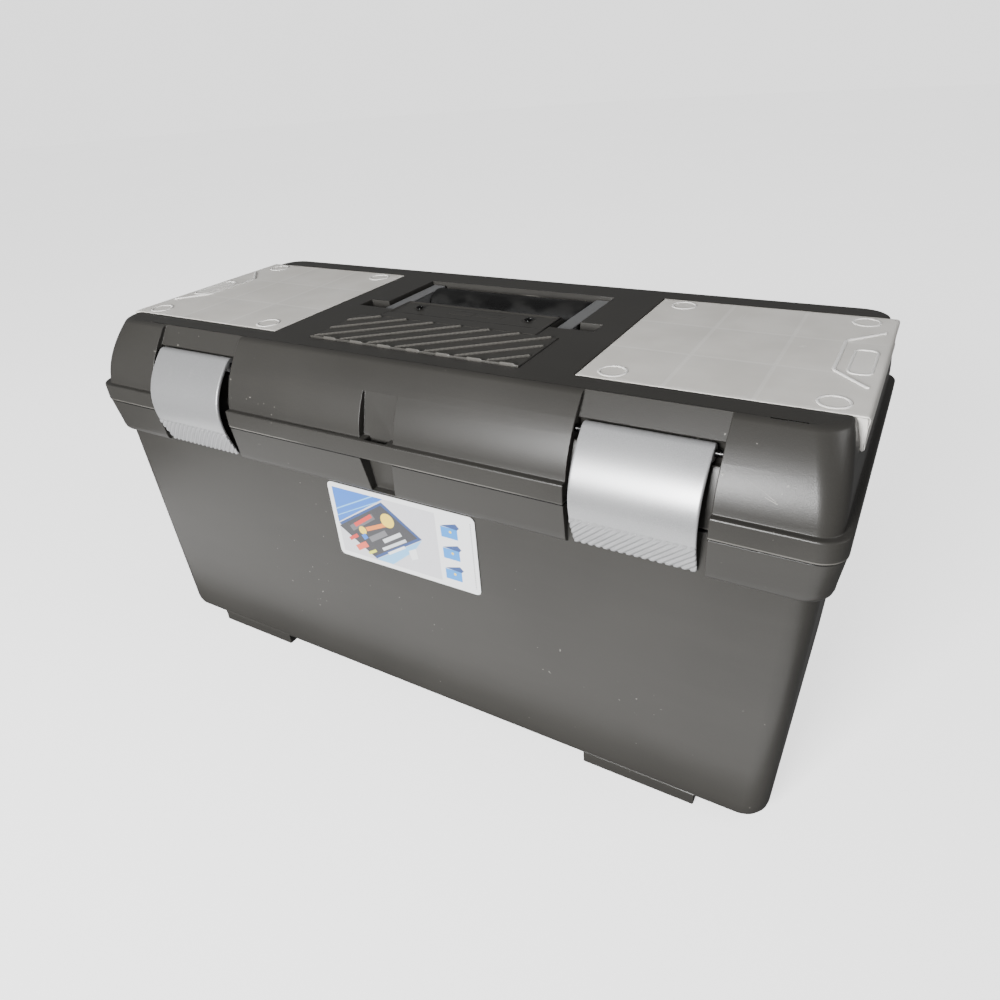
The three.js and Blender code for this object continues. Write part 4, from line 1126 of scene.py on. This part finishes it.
def panel_top(front, back, level, screws):
    """A rim along the back and both ends, the blank patches, and seats for the screws."""
    def height(x, y):
        rim_y, rim_x = back - PANEL["rim"], PANEL["half"] - PANEL["rim"]
        rim = smooth_step(y, rim_y - 0.3, rim_y + 0.3)
        ends = smooth_step(np.abs(x), rim_x - 0.3, rim_x + 0.3) * smooth_step(y, front - 0.5, front + 0.5)
        step = PANEL["drop"] * smooth_step(y, front - SOFT, front + SOFT)
        seats = sum(smooth_step(np.hypot(x - sx, y - sy), SEAT["radius"] + SOFT, SEAT["radius"] - SOFT)
                    for sx, sy in screws) * SEAT["depth"]
        raised = PANEL["rim_rise"] * np.maximum(rim, ends) + blank_patches(x, y, front, back)
        return level - step + raised - seats
    return height


def middle_of(node):
    """The middle of a node's box."""
    return sum(edges(node)) / 2


low, high = edges("grip_plate")
plate_back = low[1] + PLATE["depth"]
sheet_top = low[2] + PLATE["sheet"]
screw_places = [middle_of("plate_screw_" + name)[:2] for name in SIDES]
ribs_and_nose = plate_top(low[1], plate_back, high[0], sheet_top)
rim_and_seats = panel_top(plate_back + PANEL["strip"], high[1], sheet_top, screw_places)
ribbed = height_block((low[0], high[0]), (low[1], plate_back), low[2], ribs_and_nose,
                      PLATE["step"], PLATE["edge"])
panel = height_block((-PANEL["half"], PANEL["half"]), (plate_back, high[1]), low[2], rim_and_seats,
                     PANEL["step"], PLATE["edge"])
mesh = new_mesh("ribbed_grip_plate", [ribbed, panel])
settle(mesh, crease=60)
# The raised attribute says where the plate's painted highlight goes.
mark_raised(mesh, sheet_top + RIB_FOOT)
place_piece("ribbed_grip_plate", mesh, plate_plastic, "lid", "plate_grey", "grip_plate")

# %% [markdown]
# ## Screws, pins and the grip sleeve
#
# Turned parts are one profile swept round an axis. A screw's head is a low dome with a cross
# recess, so its top is a round grid whose height drops inside the cross. The thread is a zigzag
# in the profile of the shank.

# %% Turned parts
SCREW = {"head": 3.5, "rise": 1.4, "pitch": 1.2, "shank": 1.7, "thread": 0.35, "point": 0.2}
CROSS = {"half_width": 0.5, "reach": 2.1, "depth": 0.9}
CHAMFER = 0.4


def screw_profile(foot, seat):
    """Point, thread, shank and domed head, as (place, radius); the dome falls by its radius cubed."""
    turns = np.arange(foot + 2, seat - 0.8, SCREW["pitch"] / 2)
    radius = SCREW["shank"] - SCREW["thread"] * (np.arange(len(turns)) % 2)
    share = np.linspace(0, 1, 22)[-2::-1]
    dome = np.stack([seat + SCREW["rise"] * (1 - share ** 3), np.maximum(SCREW["head"] * share, 0.02)], 1)
    return [(foot, SCREW["point"]), *zip(turns, radius), (seat, SCREW["shank"] - 0.2),
            (seat, SCREW["head"] - 0.3), *dome]


def screw(centre, foot, top):
    """A pan-head screw turned about Z, then a cross pressed into its dome."""
    seat = top - SCREW["rise"]
    points, faces = turned(screw_profile(foot, seat), centre, "z", 64)
    dx, dy = np.abs(points[..., 0] - centre[0]), np.abs(points[..., 1] - centre[1])
    half, reach = CROSS["half_width"], CROSS["reach"]
    cross = smooth_step(np.minimum(dx, dy), half + 0.15, half - 0.15)
    cross = cross * smooth_step(np.maximum(dx, dy), reach + 0.2, reach - 0.2)
    points[..., 2] -= CROSS["depth"] * cross * (points[..., 2] > seat + 0.4)
    return points, faces


def rod(start, end, y, z, radius):
    """A round bar along X with chamfered ends."""
    thin = radius - CHAMFER
    profile = [(start, thin), (start + CHAMFER, radius), (end - CHAMFER, radius), (end, thin)]
    return turned(profile, (y, z), "x", 40)


for name, (x, y) in zip(SIDES, screw_places):
    s_low, s_high = edges("plate_screw_" + name)
    mesh = new_mesh("panel_screw_" + name, [screw((x, y), s_low[2], s_high[2])])
    settle(mesh, crease=40)
    place_piece("panel_screw_" + name, mesh, dark_steel, "lid", "steel_pin", "plate_screw_" + name)

PINS = [("hinge_pin_", "body", steel, "steel_pin"), ("latch_pin_", "lid", dark_steel, "steel_pin"),
        ("handle_pin_", "handle", graphite, "arm_grey")]
for prefix, body, material, slot in PINS:
    for name in SIDES:
        p_low, p_high = edges(prefix + name)
        y, z = middle_of(prefix + name)[1:]
        bar = rod(p_low[0], p_high[0], y, z, (p_high[2] - p_low[2]) / 2)
        mesh = new_mesh(prefix + name + "_turned", [bar])
        settle(mesh, crease=30)
        place_piece(prefix + name + "_turned", mesh, material, body, slot, prefix + name)

# %% [markdown]
# The sleeve is moulded over the handle's bar, a little towards the back and the top of the well. It
# is a turned part too, with a slight waist, so that its highlight isn't a ruled line.

# %% Grip sleeve
GRIP = {"edge": 1.6, "waist": 0.25, "back": 1.5, "up": 1.4, "step": 2.5}


def sleeve_radius(x, radius, half):
    """Radius along the sleeve: a slight waist in the middle and a rounded edge at each end."""
    edge = GRIP["edge"]
    waist = GRIP["waist"] * (1 - (x / half) ** 2) ** 2
    inward = np.clip(edge - (half - np.abs(x)), 0, edge)
    return radius - waist - (edge - np.sqrt(np.maximum(edge ** 2 - inward ** 2, 0)))


g_low, g_high = edges("handle_grip")
places = spread(g_low[0], g_high[0], GRIP["step"], GRIP["edge"])
profile = list(zip(places, sleeve_radius(places, (g_high[2] - g_low[2]) / 2, g_high[0])))
middle = middle_of("handle_grip")[1:] + (GRIP["back"], GRIP["up"])
sleeve = turned(profile, middle, "x", 96)
mesh = new_mesh("grip_sleeve", [sleeve])
settle(mesh, crease=40)
place_piece("grip_sleeve", mesh, grip_black, "handle", "grip_black", "handle_grip")

# %% [markdown]
# ## Card on the front
#
# The card is a sheet four tenths of a millimetre thick with rounded corners, and it leans with the
# drafted wall behind it. Its outline is drawn flat and then carried through its thickness.

# %% Card
CARD = {"thick": 0.4, "corner": 4}


def leaning_card(low, high):
    """A rounded outline in (x, z), set back as it goes down by the wall's draft, in two layers."""
    (left, front, foot), (right, back, top) = low, high
    outline = rounded_corners([(left, foot), (right, foot), (right, top), (left, top)], CARD["corner"])
    x, z = outline.T
    face = front + (back - front - CARD["thick"]) * (1 - (z - foot) / (top - foot))
    layers = [np.column_stack([x, face + shift, z]) for shift in (0, CARD["thick"])]
    return np.stack(layers), tube_faces(2, len(outline))


mesh = new_mesh("printed_card", [leaning_card(*edges("front_label"))])
settle(mesh, crease=30)
place_piece("printed_card", mesh, card_print, "body", "label_card", "front_label")

# %% [markdown]
# ## Studio
#
# The box stands on a pale floor under a pale dome. A white studio throws light on every side, which
# would flatten the moulding, so the floor and dome are shown to the camera but throw no light of
# their own. One soft light in front of the box gives the crowned lid and the latches a broad
# highlight and leaves the flat top in shade. A long low one stands in for the floor's reflection in
# the front wall, and a weak one, high on the right, lights the covers.

# %% Floor, dome and lights
FLOOR_HALF = 9000
DOME = {"radius": 8800, "rings": 24, "columns": 48, "sink": 40}
BACKDROP = {"glow": 2.0, "tone": 0.85}
SHADOW_FILL = {"tone": 0.9, "strength": 0.19}
SOFT_LIGHTS = {  # place, target, size and power
    "front_soft_light": ((-0.15, -1.9, 0.85), (0, 0, 0.22), (0.7, 0.7), 95),
    "floor_bounce": ((-0.05, -0.28, 0.004), (-0.05, -0.28, 1), (1.0, 0.26), 1.5),
    "side_high_light": ((1.7, 0.3, 1.5), (0, 0, 0.28), (0.8, 0.8), 10),
}


def pale_backdrop(name, surface):
    """A pale glowing surface of the studio, which only the camera meets."""
    mesh = new_mesh(name, [surface])
    tone = BACKDROP["tone"]
    r = Recipe(name, Roughness=0.95, Specular_IOR_Level=0.0, Emission_Strength=BACKDROP["glow"])
    pale = r.mix(r.noise(2, 2), grey(tone * 0.97), grey(tone))
    r.feed("Base Color", pale)
    r.feed("Emission Color", pale)
    mesh.materials.append(r.material)
    shown = bpy.data.objects.new(name, mesh)
    bpy.context.scene.collection.objects.link(shown)
    shown.visible_diffuse = False
    shown.visible_glossy = False
    shown.visible_transmission = False
    shown.visible_shadow = False


def dome_surface():
    """Half a sphere from a little under the floor up to its crown."""
    height = np.linspace(0, np.pi / 2, DOME["rings"])[:, None]
    angle = np.linspace(0, 2 * np.pi, DOME["columns"], endpoint=False)[None, :]
    level = np.cos(height)
    coordinates = np.broadcast_arrays(level * np.cos(angle), level * np.sin(angle), np.sin(height))
    points = np.stack(coordinates, axis=-1) * DOME["radius"]
    points[..., 2] -= DOME["sink"]
    return points, [grid_faces(DOME["rings"], DOME["columns"], wrap_columns=True)]


def soft_light(name, place, target, size, power):
    """An area light, size metres wide and high, turned towards target and hidden from the camera."""
    light = bpy.data.lights.new(name, "AREA")
    light.shape = "RECTANGLE"
    light.size, light.size_y = size
    light.energy = power
    lamp = bpy.data.objects.new(name, light)
    bpy.context.scene.collection.objects.link(lamp)
    lamp.location = place
    lamp.rotation_euler = (Vector(target) - Vector(place)).to_track_quat("-Z", "Y").to_euler()
    lamp.visible_camera = False


def surround(tone, strength):
    """The even light that fills the shadows."""
    world = bpy.data.worlds.new("studio")
    world.use_nodes = True
    background = world.node_tree.nodes["Background"]
    background.inputs["Color"].default_value = grey(tone)
    background.inputs["Strength"].default_value = strength
    bpy.context.scene.world = world


corner = np.array([[-1, -1, 0], [1, -1, 0], [1, 1, 0], [-1, 1, 0]], float) * FLOOR_HALF
pale_backdrop("studio_floor", (corner, [np.array([[0, 1, 2, 3]])]))
pale_backdrop("studio_dome", dome_surface())
surround(**SHADOW_FILL)
for name, (place, target, size, power) in SOFT_LIGHTS.items():
    soft_light(name, place, target, size, power)
print("studio ready")
